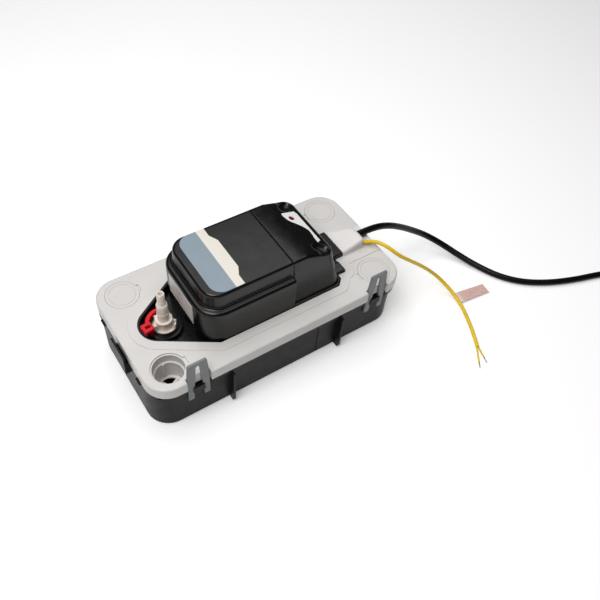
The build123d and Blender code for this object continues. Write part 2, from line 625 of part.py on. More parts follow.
# ---------------------------------------------------------------- lid
with BuildPart() as lid:
    slab(LID_LENGTH, LID_WIDTH, LID_CORNER, SKIRT_LOW, LID_TOP)
    fillet(lid.edges().group_by(Axis.Z)[-1], LID_EDGE_ROUND)
    slab(LID_LENGTH - 2 * SKIRT_WALL, LID_WIDTH - 2 * SKIRT_WALL, LID_CORNER - SKIRT_WALL,
         SKIRT_LOW, LID_UNDER, mode=Mode.SUBTRACT)
    # raised panel round the pump module, and its strip towards the cables
    extrude(module_outline(PAD_MARGIN, LID_TOP - PAD_HEIGHT), amount=2 * PAD_HEIGHT)
    box_between((0, LID_LENGTH / 2 - STRIP_MARGIN), (-STRIP_HALF_WIDTH, STRIP_HALF_WIDTH),
                (LID_TOP - PAD_HEIGHT, LID_FACE))
    extrude(module_outline(0, LID_UNDER - 1), amount=LID_PLATE + 2, mode=Mode.SUBTRACT)
    # notches that the wall brackets pass through, with the edge carried round them
    for x in BRACKET_X:
        half = NOTCH_WIDTH / 2
        box_between((x - half - SKIRT_WALL, x + half + SKIRT_WALL),
                    (-LID_WIDTH / 2 + SKIRT_WALL / 2, NOTCH_Y + SKIRT_WALL), (SKIRT_LOW, LID_UNDER))
        box_between((x - half, x + half), (-LID_WIDTH / 2 - 1, NOTCH_Y), (SKIRT_LOW, LID_TOP),
                    mode=Mode.SUBTRACT)
    # four inlets: a plug's seat, a pipe socket and a cup with a crossed floor
    for centre in INLETS.values():
        disc(centre, INLET_RADIUS + INLET_WALL, SOCKET_FLOOR - CUP_WEB, LID_UNDER)
        disc(centre, CUP_RADIUS + INLET_WALL, CUP_FLOOR, SOCKET_FLOOR)
        disc(centre, SEAT_RADIUS, LID_TOP - SEAT_DEPTH, LID_TOP, mode=Mode.SUBTRACT)
        disc(centre, INLET_RADIUS, SOCKET_FLOOR, LID_TOP, mode=Mode.SUBTRACT)
        disc(centre, CUP_RADIUS, CUP_FLOOR + CUP_WEB, LID_TOP, mode=Mode.SUBTRACT)
        with BuildSketch(Plane.XY.offset(CUP_FLOOR)) as drain:
            with Locations(centre):
                Circle(CUP_HOLE_RADIUS)
                for angle in (30, 120):
                    Rectangle(2 * CUP_RADIUS, CUP_BAR, rotation=angle, mode=Mode.SUBTRACT)
        extrude(drain.sketch, amount=CUP_WEB, mode=Mode.SUBTRACT)
        # a pry recess beside each seat, on the side of the lid's middle
        pry_x = centre[0] - SEAT_RADIUS * (1 if centre[0] > 0 else -1)
        box_between((pry_x - PRY_DEPTH, pry_x + PRY_DEPTH),
                    (centre[1] - PRY_WIDTH / 2, centre[1] + PRY_WIDTH / 2),
                    (LID_TOP - SEAT_DEPTH, LID_FACE), mode=Mode.SUBTRACT)
    # a key rib down the open inlet's cup
    open_x, open_y = INLETS["open"]
    box_between((open_x - KEY_RIB / 2, open_x + KEY_RIB / 2),
                (open_y + CUP_RADIUS - KEY_RIB, open_y + CUP_RADIUS + INLET_WALL / 2),
                (CUP_FLOOR, SOCKET_FLOOR))
save(lid.part, "lid")

# ---------------------------------------------------------------- blanking plugs
for name, centre in INLETS.items():
    if name == "open":
        continue
    with BuildPart() as plug:
        disc(centre, SEAT_RADIUS - FLUSH, LID_TOP - SEAT_DEPTH, LID_TOP)
        disc(centre, INLET_RADIUS - FLUSH, LID_TOP - SEAT_DEPTH - PLUG_SPIGOT, LID_TOP - SEAT_DEPTH,
             inner=INLET_RADIUS - FLUSH - PLUG_WALL)
        disc(centre, PLUG_RING, LID_TOP - PLUG_RING_DEPTH, LID_TOP, inner=PLUG_RING - PLUG_RING_WIDTH,
             mode=Mode.SUBTRACT)
    save(plug.part, f"inlet_plug_{name}")

# ---------------------------------------------------------------- wall brackets
for name, x in zip(BRACKET_NAMES, BRACKET_X):
    with BuildPart() as bracket:
        with BuildSketch(Plane.XZ.offset(-BRACKET_INNER_Y)) as face:
            with BuildLine():
                Polyline(
                    (x - BRACKET_FOOT / 2, BRACKET_LOW),
                    (x + BRACKET_FOOT / 2, BRACKET_LOW),
                    (x + BRACKET_FOOT / 2, LID_TOP),
                    (x + BRACKET_HEAD / 2, BRACKET_TOP),
                    (x - BRACKET_HEAD / 2, BRACKET_TOP),
                    (x - BRACKET_FOOT / 2, LID_TOP),
                    close=True,
                )
            make_face()
            arch = BRACKET_GAP_TOP - BRACKET_GAP_HIGH / 2
            with BuildLine():
                Polyline(
                    (x - BRACKET_GAP_LOW / 2, BRACKET_LOW),
                    (x + BRACKET_GAP_LOW / 2, BRACKET_LOW),
                    (x + BRACKET_GAP_HIGH / 2, arch),
                    (x - BRACKET_GAP_HIGH / 2, arch),
                    close=True,
                )
            make_face(mode=Mode.SUBTRACT)
            with Locations((x, arch)):
                Circle(BRACKET_GAP_HIGH / 2, mode=Mode.SUBTRACT)
        extrude(face.sketch, amount=BRACKET_THICK)
        top_corners = bracket.edges().filter_by(Axis.Y).group_by(Axis.Z)[-1]
        fillet(top_corners, BRACKET_ROUND)
    save(bracket.part, f"wall_bracket_{name}")

# ---------------------------------------------------------------- pump tray
TRAY_SCREWS = [(x, side * (MODULE_HALF_WIDTH + TRAY_EAR)) for x in TRAY_SCREW_X for side in (-1, 1)]
MOTOR_POSTS = [(x, side * MOTOR_POST_Y) for x in MOTOR_POST_X for side in (-1, 1)]
BOARD_POSTS = [
    (BOARD_X + end * (BOARD_LENGTH / 2 - POST_RADIUS), side * (BOARD_WIDTH / 2 - POST_RADIUS))
    for end in (-1, 1) for side in (-1, 1)
]
COVER_POSTS = [
    (x, side * y)
    for x, y in (
        (-COVER_REACH + COVER_CORNER, COVER_HALF_WIDTH - COVER_WALL - POST_INSET),
        (REAR_FOOT_X - COVER_WALL - POST_INSET, LUG_INNER_Y),
    )
    for side in (-1, 1)
]

with BuildPart() as tray:
    extrude(module_outline(-FIT, TRAY_UNDER), amount=TRAY_RIM - TRAY_UNDER)
    extrude(module_outline(TRAY_FLANGE, LID_UNDER - TRAY_FLANGE_THICK), amount=TRAY_FLANGE_THICK)
    for place in TRAY_SCREWS:
        disc(place, TRAY_EAR, LID_UNDER - TRAY_FLANGE_THICK, LID_UNDER)
    extrude(module_outline(-FIT - TRAY_WALL, TRAY_FLOOR), amount=TRAY_RIM - TRAY_FLOOR, mode=Mode.SUBTRACT)
    # seat and guide ring for the locking collar
    disc((OUTLET_X, 0), COLLAR_OUTER - FIT, TRAY_FLOOR, COLLAR_LOW)
    disc((OUTLET_X, 0), COLLAR_INNER - FIT, COLLAR_LOW, COLLAR_LOW + COLLAR_GUIDE)
    disc((OUTLET_X, 0), OUTLET_DISC_RADIUS + FIT, TRAY_FLOOR, COLLAR_LOW + COLLAR_GUIDE, mode=Mode.SUBTRACT)
    for place in MOTOR_POSTS:
        disc(place, POST_RADIUS, TRAY_FLOOR, STATOR_LOW)
        disc(place, SCREW_RADIUS + FIT, TRAY_FLOOR, STATOR_LOW, mode=Mode.SUBTRACT)
    for place in BOARD_POSTS:
        disc(place, POST_RADIUS, TRAY_FLOOR, BOARD_Z)
        disc(place, SCREW_RADIUS + FIT, BOARD_Z - SCREW_BITE - FIT, BOARD_Z, mode=Mode.SUBTRACT)
    for place in COVER_POSTS + TRAY_SCREWS:
        disc(place, SCREW_RADIUS + FIT, TRAY_UNDER, LID_UNDER, mode=Mode.SUBTRACT)
    disc((MOTOR_X, 0), SHAFT_HOLE_RADIUS, TRAY_UNDER, TRAY_FLOOR, mode=Mode.SUBTRACT)
    disc((OUTLET_X, 0), SPIGOT_RADIUS + FIT, TRAY_UNDER, TRAY_FLOOR, mode=Mode.SUBTRACT)
    disc((FLOAT_X, 0), STEM_RADIUS - STEM_WALL, TRAY_UNDER, TRAY_FLOOR, mode=Mode.SUBTRACT)
save(tray.part, "pump_tray")

# ---------------------------------------------------------------- front cover
with BuildPart() as cover_front:
    slab(2 * COVER_REACH, 2 * COVER_HALF_WIDTH, COVER_CORNER, TRAY_RIM, LEDGE_HEIGHT)
    fillet(cover_front.edges().group_by(Axis.Z)[-1], LEDGE_ROUND)
    upper_length = 2 * (COVER_REACH - LEDGE_STEP)
    slab(upper_length, 2 * UPPER_HALF_WIDTH, COVER_CORNER - LEDGE_STEP, LEDGE_HEIGHT, COVER_TOP,
         taper=UPPER_DRAFT)
    fillet(cover_front.edges().group_by(Axis.Z)[-1], TOP_ROUND)
    root = [
        edge for edge in cover_front.edges().filter_by_position(Axis.Z, LEDGE_HEIGHT, LEDGE_HEIGHT)
        if abs(edge.center().X) < upper_length / 2 + 1 and abs(edge.center().Y) < UPPER_HALF_WIDTH + 1
    ]
    fillet(root, ROOT_ROUND)
    # the apron that stands on the tray's floor, inside the tray's wall
    with BuildSketch(Plane.XY.offset(TRAY_FLOOR)) as apron:
        RectangleRounded(2 * COVER_REACH, 2 * COVER_HALF_WIDTH, COVER_CORNER)
        add(module_outline(-2 * FIT - TRAY_WALL, TRAY_FLOOR), mode=Mode.INTERSECT)
    extrude(apron.sketch, amount=TRAY_RIM - TRAY_FLOOR)
    # hollow, in three tiers
    with BuildSketch(Plane.XY.offset(TRAY_FLOOR)) as apron_inside:
        RectangleRounded(2 * (COVER_REACH - COVER_WALL), 2 * (COVER_HALF_WIDTH - COVER_WALL),
                         COVER_CORNER - COVER_WALL)
        add(module_outline(-2 * FIT - TRAY_WALL - APRON_WALL, TRAY_FLOOR), mode=Mode.INTERSECT)
    extrude(apron_inside.sketch, amount=TRAY_RIM - TRAY_FLOOR + APRON_WALL, mode=Mode.SUBTRACT)
    slab(2 * (COVER_REACH - COVER_WALL), 2 * (COVER_HALF_WIDTH - COVER_WALL), COVER_CORNER - COVER_WALL,
         TRAY_RIM + APRON_WALL, LEDGE_HEIGHT - LEDGE_ROUND, mode=Mode.SUBTRACT)
    slab(upper_length - 2 * COVER_WALL, 2 * (UPPER_HALF_WIDTH - COVER_WALL),
         COVER_CORNER - LEDGE_STEP - COVER_WALL, LEDGE_HEIGHT - LEDGE_ROUND, COVER_TOP - COVER_WALL,
         mode=Mode.SUBTRACT, taper=UPPER_DRAFT)
    split(bisect_by=Plane.YZ.offset(COVER_PARTING_X - COVER_JOIN / 2), keep=Keep.BOTTOM)
    for place in COVER_POSTS[:2]:
        disc(place, POST_RADIUS, TRAY_FLOOR, LEDGE_HEIGHT - LEDGE_ROUND)
        disc(place, SCREW_RADIUS + FIT, TRAY_FLOOR, TRAY_FLOOR + SCREW_BITE, mode=Mode.SUBTRACT)
save(cover_front.part, "cover_front")

# ---------------------------------------------------------------- rear cover
REAR_START_X = COVER_PARTING_X + COVER_JOIN / 2
REAR_HALF_WIDTH = COVER_HALF_WIDTH - REAR_SIDE_SET_IN

with BuildPart() as cover_rear:
    slab(2 * REAR_FOOT_X, 2 * REAR_HALF_WIDTH, REAR_CORNER, TRAY_FLOOR, TRAY_RIM)
    with BuildSketch(Plane.XY.offset(TRAY_RIM)) as low_outline:
        RectangleRounded(2 * REAR_FOOT_X, 2 * REAR_HALF_WIDTH, REAR_CORNER)
    with BuildSketch(Plane.XY.offset(COVER_TOP)) as top_outline:
        RectangleRounded(2 * REAR_TOP_REACH, 2 * TOP_HALF_WIDTH, REAR_CORNER)
    loft(sections=[low_outline.sketch, top_outline.sketch], ruled=True)
    with BuildSketch(Plane.XZ.offset(-COVER_HALF_WIDTH)) as over_slope:
        with BuildLine():
            Polyline(
                (SLOPE_START_X, COVER_TOP),
                (2 * REAR_TOP_X - SLOPE_START_X, 2 * REAR_TOP_Z - COVER_TOP),
                (2 * REAR_TOP_X - SLOPE_START_X, COVER_TOP),
                close=True,
            )
        make_face()
    extrude(over_slope.sketch, amount=2 * COVER_HALF_WIDTH, mode=Mode.SUBTRACT)
    split(bisect_by=Plane.YZ.offset(REAR_START_X), keep=Keep.TOP)
    top_edges = [
        edge for edge in cover_rear.edges().filter_by_position(Axis.Z, REAR_TOP_Z - 2, COVER_TOP)
        if edge.center().X > REAR_START_X + 1 and abs(edge.tangent_at(0.5).Y) < 0.9
        and edge.length > REAR_CORNER
    ]
    fillet(top_edges, TOP_ROUND)
    # finger grips in the two rear corners
    for side in (-1, 1):
        with Locations((GRIP_X, side * GRIP_Y, GRIP_Z)):
            Sphere(GRIP_RADIUS, mode=Mode.SUBTRACT)
    # foot on the tray's rim, with a gap for the cable entry and a block each side of it
    with BuildSketch(Plane.XY.offset(TRAY_RIM)) as foot:
        add(module_outline(-FIT, TRAY_RIM))
        with Locations(((REAR_START_X - LID_LENGTH) / 2, 0)):
            Rectangle(REAR_START_X + LID_LENGTH, LID_WIDTH, mode=Mode.SUBTRACT)
        with Locations((REAR_FOOT_X - COVER_WALL + LID_LENGTH / 2, 0)):
            Rectangle(LID_LENGTH, 2 * (REAR_TONGUE_Y + FIT), mode=Mode.SUBTRACT)
    extrude(foot.sketch, amount=FLANGE_HEIGHT)
    for side in (-1, 1):
        box_between((REAR_FOOT_X - COVER_WALL, REAR_SHOULDER_X - 2 * FIT),
                    sorted((side * LUG_INNER_Y, side * LUG_OUTER_Y)),
                    (TRAY_RIM, TRAY_RIM + FLANGE_HEIGHT + LUG_HEIGHT))
    # hollow
    box_between((REAR_START_X, REAR_CAVITY_X),
                (-REAR_CAVITY_Y, REAR_CAVITY_Y),
                (TRAY_FLOOR, REAR_CAVITY_TOP), mode=Mode.SUBTRACT)
    for place in COVER_POSTS[2:]:
        disc(place, POST_RADIUS, TRAY_FLOOR, REAR_CAVITY_TOP)
        disc(place, SCREW_RADIUS + FIT, TRAY_FLOOR, TRAY_FLOOR + SCREW_BITE, mode=Mode.SUBTRACT)
    # hole for the indicator's lens
    with BuildSketch(SLOPE_PLANE) as lens_hole:
        with Locations((LENS_ALONG, LENS_Y)):
            Circle(LENS_RADIUS + FIT)
    extrude(lens_hole.sketch, amount=-LENS_LENGTH, mode=Mode.SUBTRACT)
save(cover_rear.part, "cover_rear")

# ---------------------------------------------------------------- bare labels
with BuildPart() as badge:
    with BuildSketch(Plane.XY.offset(COVER_TOP)) as face:
        with BuildLine():
            Polyline(
                (BADGE_TONGUE_X, BADGE_TONGUE_Y),
                (BADGE_STEP_X, BADGE_SHOULDER_Y),
                (BADGE_STEP_X, BADGE_HALF_WIDTH),
                (BADGE_FRONT_X, BADGE_HALF_WIDTH),
                (BADGE_FRONT_X, -BADGE_HALF_WIDTH),
                (BADGE_STEP_X, -BADGE_HALF_WIDTH),
                (BADGE_STEP_X, -BADGE_SHOULDER_Y),
                (BADGE_TONGUE_X, -BADGE_TONGUE_Y),
                close=True,
            )
        make_face()
        fillet(face.vertices().group_by(Axis.X)[0], BADGE_CORNER)
    extrude(face.sketch, amount=LABEL_THICK)
save(badge.part, "badge")

with BuildPart() as rating_label:
    box_between((-COVER_REACH - LABEL_THICK, -COVER_REACH),
                (-RATING_HALF_WIDTH, RATING_HALF_WIDTH), (RATING_LOW, RATING_HIGH))
save(rating_label.part, "rating_label")

with BuildPart() as indicator_label:
    with BuildSketch(SLOPE_PLANE) as face:
        with BuildLine():
            edge_up = Polyline(
                (10.8, 19.7), (11.5, 22.0), (26.8, 22.6), (28.4, 19.1), (28.3, -22.2), (24.0, -24.0)
            )
            Spline(edge_up @ 1, (24.8, -4.0), (16.5, 6.8), edge_up @ 0, tangents=[(0, 1), (-0.1, 1)])
        make_face()
        with Locations((LENS_ALONG, LENS_Y)):
            Circle(LENS_RADIUS + FIT, mode=Mode.SUBTRACT)
    extrude(face.sketch, amount=LABEL_THICK)
save(indicator_label.part, "indicator_label")

with BuildPart() as lens:
    with BuildSketch(SLOPE_PLANE.offset(-LENS_LENGTH)) as face:
        with Locations((LENS_ALONG, LENS_Y)):
            Circle(LENS_RADIUS)
    extrude(face.sketch, amount=LENS_LENGTH + LABEL_THICK)
    fillet(lens.edges().sort_by(Axis.Z)[-1], LABEL_THICK)
save(lens.part, "indicator_lens")

# ---------------------------------------------------------------- outlet
OUTLET = (OUTLET_X, 0)
SPIGOT_LOW = TRAY_FLOOR - SPIGOT_DEPTH
RING_TOP = OUTLET_RING_Z + OUTLET_RING

with BuildPart() as outlet:
    disc(OUTLET, OUTLET_DISC_RADIUS, TRAY_FLOOR, TRAY_FLOOR + OUTLET_DISC)
    disc(OUTLET, SPIGOT_RADIUS, SPIGOT_LOW, TRAY_FLOOR)
    disc(OUTLET, TAIL_LARGE_RADIUS, TRAY_FLOOR, TAIL_LARGE_TOP)
    disc(OUTLET, TAIL_SMALL_RADIUS, TRAY_FLOOR, TAIL_TOP - TAIL_TIP)
    disc(OUTLET, OUTLET_RING_RADIUS, OUTLET_RING_Z, RING_TOP)
    disc(OUTLET, TAIL_BEAD_RADIUS, RING_TOP + TAIL_BEAD_RISE, RING_TOP + TAIL_BEAD_RISE + TAIL_BEAD)
    with BuildSketch(Plane.XY.offset(TAIL_TOP - TAIL_TIP)) as tip:
        with Locations(OUTLET):
            Circle(TAIL_TIP_RADIUS)
    extrude(tip.sketch, amount=TAIL_TIP, taper=TAIL_TIP_TAPER)
    for angle in range(0, 180, 180 // WING_COUNT * 2):
        with BuildSketch(Plane.XY.offset(TRAY_FLOOR + OUTLET_DISC)) as wings:
            with Locations(OUTLET):
                Rectangle(2 * OUTLET_RING_RADIUS, WING_THICK, rotation=angle + WING_START)
        extrude(wings.sketch, amount=OUTLET_RING_Z - TRAY_FLOOR - OUTLET_DISC)
    disc(OUTLET, TAIL_BORE, SPIGOT_LOW, TAIL_TOP, mode=Mode.SUBTRACT)
    disc(OUTLET, SPIGOT_RADIUS - VALVE_SEAT_THICK, SPIGOT_LOW, TRAY_UNDER, mode=Mode.SUBTRACT)
save(outlet.part, "outlet")

with BuildPart() as outlet_seal:
    disc(OUTLET, VALVE_OUTER, TRAY_UNDER - SEAL_THICK, TRAY_UNDER, inner=SPIGOT_RADIUS + FIT)
save(outlet_seal.part, "outlet_seal")

VALVE_LOW = TRAY_FLOOR - VALVE_DEPTH
SEAT_TOP = TRAY_FLOOR - VALVE_SEAT

with BuildPart() as valve_housing:
    disc(OUTLET, VALVE_OUTER, VALVE_LOW, TRAY_UNDER - SEAL_THICK, inner=SPIGOT_RADIUS + FIT)
    disc(OUTLET, VALVE_OUTER, SEAT_TOP - VALVE_SEAT_THICK, SEAT_TOP, inner=VALVE_SEAT_RADIUS)
    disc(OUTLET, VALVE_OUTER, VALVE_LOW, SEAT_TOP - VALVE_SEAT_THICK, inner=PIPE_RADIUS + FIT)
save(valve_housing.part, "valve_housing")

with BuildPart() as valve_disc:
    disc(OUTLET, VALVE_DISC_RADIUS, SEAT_TOP, SEAT_TOP + VALVE_DISC)
    disc(OUTLET, VALVE_SEAT_RADIUS - FIT - RUN, SEAT_TOP - VALVE_SEAT_THICK, SEAT_TOP)
save(valve_disc.part, "check_valve_disc")

# locking collar: an open ring with a slotted lever
with BuildPart() as collar:
    with BuildSketch(Plane.XY.offset(COLLAR_LOW)) as ring:
        with Locations(OUTLET):
            Circle(COLLAR_OUTER)
            Circle(COLLAR_INNER, mode=Mode.SUBTRACT)
        with BuildLine():
            reach = 2 * COLLAR_OUTER
            gap = [COLLAR_START + COLLAR_ARC + share * (360 - COLLAR_ARC) / 3 for share in range(4)]
            Polyline(OUTLET, *[(OUTLET_X + reach * cos(radians(a)), reach * sin(radians(a))) for a in gap],
                     close=True)
        make_face(mode=Mode.SUBTRACT)
    extrude(ring.sketch, amount=COLLAR_THICK)
    with BuildSketch(Plane.XY.offset(COLLAR_LOW)) as lever:
        with Locations(Location((OUTLET_X, 0, 0), (0, 0, LEVER_ANGLE))):
            with Locations(((COLLAR_INNER + LEVER_END) / 2, 0)):
                RectangleRounded(LEVER_END - COLLAR_INNER, LEVER_WIDTH, LEVER_ROUND)
    extrude(lever.sketch, amount=COLLAR_THICK)
    with BuildSketch(Plane.XY.offset(COLLAR_LOW)) as slot:
        with Locations(Location((OUTLET_X, 0, 0), (0, 0, LEVER_ANGLE))):
            with Locations(((LEVER_SLOT_START + LEVER_SLOT_END) / 2, 0)):
                RectangleRounded(LEVER_SLOT_END - LEVER_SLOT_START, LEVER_SLOT_WIDTH, LEVER_ROUND)
    extrude(slot.sketch, amount=COLLAR_THICK, mode=Mode.SUBTRACT)
save(collar.part, "locking_collar")

# ---------------------------------------------------------------- pump below the tray
SHAFT_PLACE = (MOTOR_X, 0)
NOZZLE_Z = (VOLUTE_LOW + VOLUTE_HIGH) / 2
NOZZLE_END = MOTOR_X - NOZZLE_REACH
VOLUTE_INSIDE = VOLUTE_RADIUS - VOLUTE_WALL

with BuildPart() as pump_column:
    disc(SHAFT_PLACE, COLUMN_RADIUS, VOLUTE_HIGH, TRAY_UNDER)
    disc(SHAFT_PLACE, COLUMN_FLANGE, TRAY_UNDER - COLUMN_WALL, TRAY_UNDER)
    disc(SHAFT_PLACE, COLUMN_RADIUS - COLUMN_WALL, VOLUTE_HIGH, TRAY_UNDER, mode=Mode.SUBTRACT)
    with Locations((MOTOR_X, 0, (VOLUTE_HIGH + TRAY_UNDER) / 2)):
        Box(2 * COLUMN_FLANGE, COLUMN_RADIUS, COLUMN_RADIUS / 2, mode=Mode.SUBTRACT)
save(pump_column.part, "pump_column")

with BuildPart() as volute:
    disc(SHAFT_PLACE, VOLUTE_RADIUS, VOLUTE_LOW, VOLUTE_HIGH)
    with BuildSketch(Plane.YZ.offset(NOZZLE_END)) as nozzle:
        with Locations((0, NOZZLE_Z)):
            Circle(PIPE_RADIUS + FIT + PIPE_WALL)
    extrude(nozzle.sketch, amount=NOZZLE_REACH - VOLUTE_INSIDE)
    disc(SHAFT_PLACE, VOLUTE_INSIDE, VOLUTE_LOW + VOLUTE_WALL, VOLUTE_HIGH - VOLUTE_WALL, mode=Mode.SUBTRACT)
    disc(SHAFT_PLACE, SHAFT_RADIUS + FIT, VOLUTE_HIGH - VOLUTE_WALL, VOLUTE_HIGH, mode=Mode.SUBTRACT)
    disc(SHAFT_PLACE, VOLUTE_EYE, VOLUTE_LOW, VOLUTE_LOW + VOLUTE_WALL, mode=Mode.SUBTRACT)
    with BuildSketch(Plane.YZ.offset(NOZZLE_END)) as bore:
        with Locations((0, NOZZLE_Z)):
            Circle(PIPE_RADIUS - PIPE_WALL)
    extrude(bore.sketch, amount=NOZZLE_REACH - VOLUTE_INSIDE + VOLUTE_WALL, mode=Mode.SUBTRACT)
    with BuildSketch(Plane.YZ.offset(NOZZLE_END)) as socket:
        with Locations((0, NOZZLE_Z)):
            Circle(PIPE_RADIUS + FIT)
    extrude(socket.sketch, amount=NOZZLE_REACH - VOLUTE_RADIUS, mode=Mode.SUBTRACT)
save(volute.part, "volute")

with BuildPart() as impeller:
    disc(SHAFT_PLACE, IMPELLER_HUB, IMPELLER_LOW, IMPELLER_LOW + IMPELLER_HEIGHT)
    disc(SHAFT_PLACE, IMPELLER_RADIUS, IMPELLER_LOW + IMPELLER_HEIGHT - IMPELLER_PLATE,
         IMPELLER_LOW + IMPELLER_HEIGHT)
    with BuildSketch(Plane.XY.offset(IMPELLER_LOW)) as blades:
        with Locations(SHAFT_PLACE):
            with PolarLocations(IMPELLER_RADIUS / 2, IMPELLER_BLADES):
                Rectangle(IMPELLER_RADIUS - 1, IMPELLER_BLADE)
    extrude(blades.sketch, amount=IMPELLER_HEIGHT)
    disc(SHAFT_PLACE, SHAFT_RADIUS + RUN, SHAFT_LOW, IMPELLER_LOW + IMPELLER_HEIGHT, mode=Mode.SUBTRACT)
save(impeller.part, "impeller")

with BuildPart() as strainer:
    disc(SHAFT_PLACE, VOLUTE_INSIDE, VOLUTE_LOW - STRAINER_HEIGHT, VOLUTE_LOW,
         inner=VOLUTE_INSIDE - VOLUTE_WALL)
    disc(SHAFT_PLACE, VOLUTE_INSIDE, VOLUTE_LOW - STRAINER_HEIGHT, VOLUTE_LOW - STRAINER_HEIGHT / 2,
         inner=VOLUTE_EYE)
    with Locations((MOTOR_X, 0, VOLUTE_LOW)):
        with PolarLocations(VOLUTE_INSIDE, STRAINER_SLOTS):
            Box(3 * VOLUTE_WALL, STRAINER_SLOT, STRAINER_HEIGHT, mode=Mode.SUBTRACT)
save(strainer.part, "strainer")

with BuildPart() as discharge_pipe:
    with BuildLine(Plane.XZ) as route:
        FilletPolyline(
            (OUTLET_X, SEAT_TOP - VALVE_SEAT_THICK),
            (OUTLET_X, NOZZLE_Z),
            (MOTOR_X - VOLUTE_RADIUS, NOZZLE_Z),
            radius=PIPE_BEND,
        )
    path = route.wires()[0]
    with BuildSketch(Plane(origin=path @ 0, z_dir=path % 0)):
        Circle(PIPE_RADIUS)
        Circle(PIPE_RADIUS - PIPE_WALL, mode=Mode.SUBTRACT)
    sweep(path=path)
save(discharge_pipe.part, "discharge_pipe")

# ---------------------------------------------------------------- motor
STATOR_TOP = STATOR_LOW + STATOR_HEIGHT
STATOR_MIDDLE = (STATOR_FRONT + STATOR_REAR) / 2
LEG_X = STATOR_REAR - LEG_WIDTH / 2

with BuildPart() as shaft:
    disc(SHAFT_PLACE, SHAFT_RADIUS, SHAFT_LOW, SHAFT_TOP)
    chamfer(shaft.edges().sort_by(Axis.Z)[-1], SHAFT_RADIUS / 6)
save(shaft.part, "motor_shaft")

with BuildPart() as stator:
    with BuildSketch(Plane.XY.offset(STATOR_LOW)) as stack:
        with Locations((STATOR_MIDDLE, 0)):
            RectangleRounded(STATOR_REAR - STATOR_FRONT, STATOR_WIDTH, STATOR_CORNER)
        with Locations(SHAFT_PLACE):
            Circle(ROTOR_RADIUS + AIR_GAP, mode=Mode.SUBTRACT)
        with Locations((STATOR_REAR - LEG_WIDTH - WINDOW_LENGTH / 2, 0)):
            Rectangle(WINDOW_LENGTH, WINDOW_WIDTH, mode=Mode.SUBTRACT)
        with Locations(*MOTOR_POSTS):
            Circle(SCREW_RADIUS + FIT, mode=Mode.SUBTRACT)
    extrude(stack.sketch, amount=STATOR_HEIGHT)
save(stator.part, "motor_stator")

with BuildPart() as winding:
    with Locations((LEG_X, 0, STATOR_LOW + STATOR_HEIGHT / 2)):
        Box(LEG_WIDTH + 2 * COIL_OUT, WINDOW_WIDTH - 2 * FIT, STATOR_HEIGHT + 2 * COIL_OUT)
        fillet(winding.edges().filter_by(Axis.Y), COIL_ROUND)
        Box(LEG_WIDTH + 2 * COIL_GAP, WINDOW_WIDTH, STATOR_HEIGHT + 2 * COIL_GAP, mode=Mode.SUBTRACT)
save(winding.part, "motor_winding")

with BuildPart() as rotor:
    disc(SHAFT_PLACE, ROTOR_RADIUS, STATOR_LOW + ROTOR_SHORT, STATOR_TOP - ROTOR_SHORT, inner=SHAFT_RADIUS + RUN)
save(rotor.part, "motor_rotor")

for name, outer, inner in (("upper", STATOR_TOP, 1), ("lower", STATOR_LOW, -1)):
    away = outer + inner * BRIDGE_THICK
    with BuildPart() as bridge:
        box_between((MOTOR_X - BRIDGE_WIDTH / 2, MOTOR_X + BRIDGE_WIDTH / 2),
                    (-STATOR_WIDTH / 2, STATOR_WIDTH / 2), sorted((outer, away)))
        disc(SHAFT_PLACE, BEARING_RADIUS + FIT, *sorted((outer, away)), mode=Mode.SUBTRACT)
    save(bridge.part, f"{name}_bridge")
    with BuildPart() as bearing:
        far = away + inner * BEARING_FLANGE_THICK
        disc(SHAFT_PLACE, BEARING_RADIUS, *sorted((outer, far)))
        disc(SHAFT_PLACE, BEARING_FLANGE, *sorted((away, far)))
        disc(SHAFT_PLACE, SHAFT_RADIUS + RUN, *sorted((outer, far)), mode=Mode.SUBTRACT)
    save(bearing.part, f"{name}_bearing")

with BuildPart() as fan:
    disc(SHAFT_PLACE, FAN_HUB_RADIUS, FAN_LOW, FAN_LOW + FAN_HEIGHT)
    for number in range(FAN_BLADES):
        turn = Location((MOTOR_X, 0, FAN_LOW + FAN_HEIGHT / 2), (0, 0, 360 * number / FAN_BLADES))
        tilt = Location(((FAN_HUB_RADIUS + FAN_RADIUS) / 2 - 1, 0, 0), (FAN_PITCH, 0, 0))
        with Locations(turn * tilt):
            Box(FAN_RADIUS - FAN_HUB_RADIUS, FAN_HEIGHT, FAN_BLADE)
    disc(SHAFT_PLACE, SHAFT_RADIUS + RUN, FAN_LOW, FAN_LOW + FAN_HEIGHT, mode=Mode.SUBTRACT)
save(fan.part, "cooling_fan")

# ---------------------------------------------------------------- float switch
FLOAT_PLACE = (FLOAT_X, 0)

with BuildPart() as stem:
    disc(FLOAT_PLACE, STEM_RADIUS, STEM_LOW, TRAY_UNDER)
    disc(FLOAT_PLACE, STEM_FLANGE_RADIUS, TRAY_UNDER - STEM_WALL, TRAY_UNDER)
    disc(FLOAT_PLACE, STEM_STOP_RADIUS, STEM_LOW, FLOAT_LOW)
    disc(FLOAT_PLACE, STEM_RADIUS - STEM_WALL, REED_LOW, TRAY_UNDER, mode=Mode.SUBTRACT)
save(stem.part, "float_stem")

with BuildPart() as float_body:
    with BuildSketch(Plane.XY.offset(FLOAT_LOW)) as face:
        with Locations(FLOAT_PLACE):
            RectangleRounded(FLOAT_LENGTH, FLOAT_WIDTH, FLOAT_CORNER)
            Circle(STEM_RADIUS + FLOAT_GAP, mode=Mode.SUBTRACT)
    extrude(face.sketch, amount=FLOAT_HEIGHT)
    disc(FLOAT_PLACE, MAGNET_RADIUS, FLOAT_LOW + FLOAT_HEIGHT - MAGNET_HEIGHT, FLOAT_LOW + FLOAT_HEIGHT,
         mode=Mode.SUBTRACT)
save(float_body.part, "float")

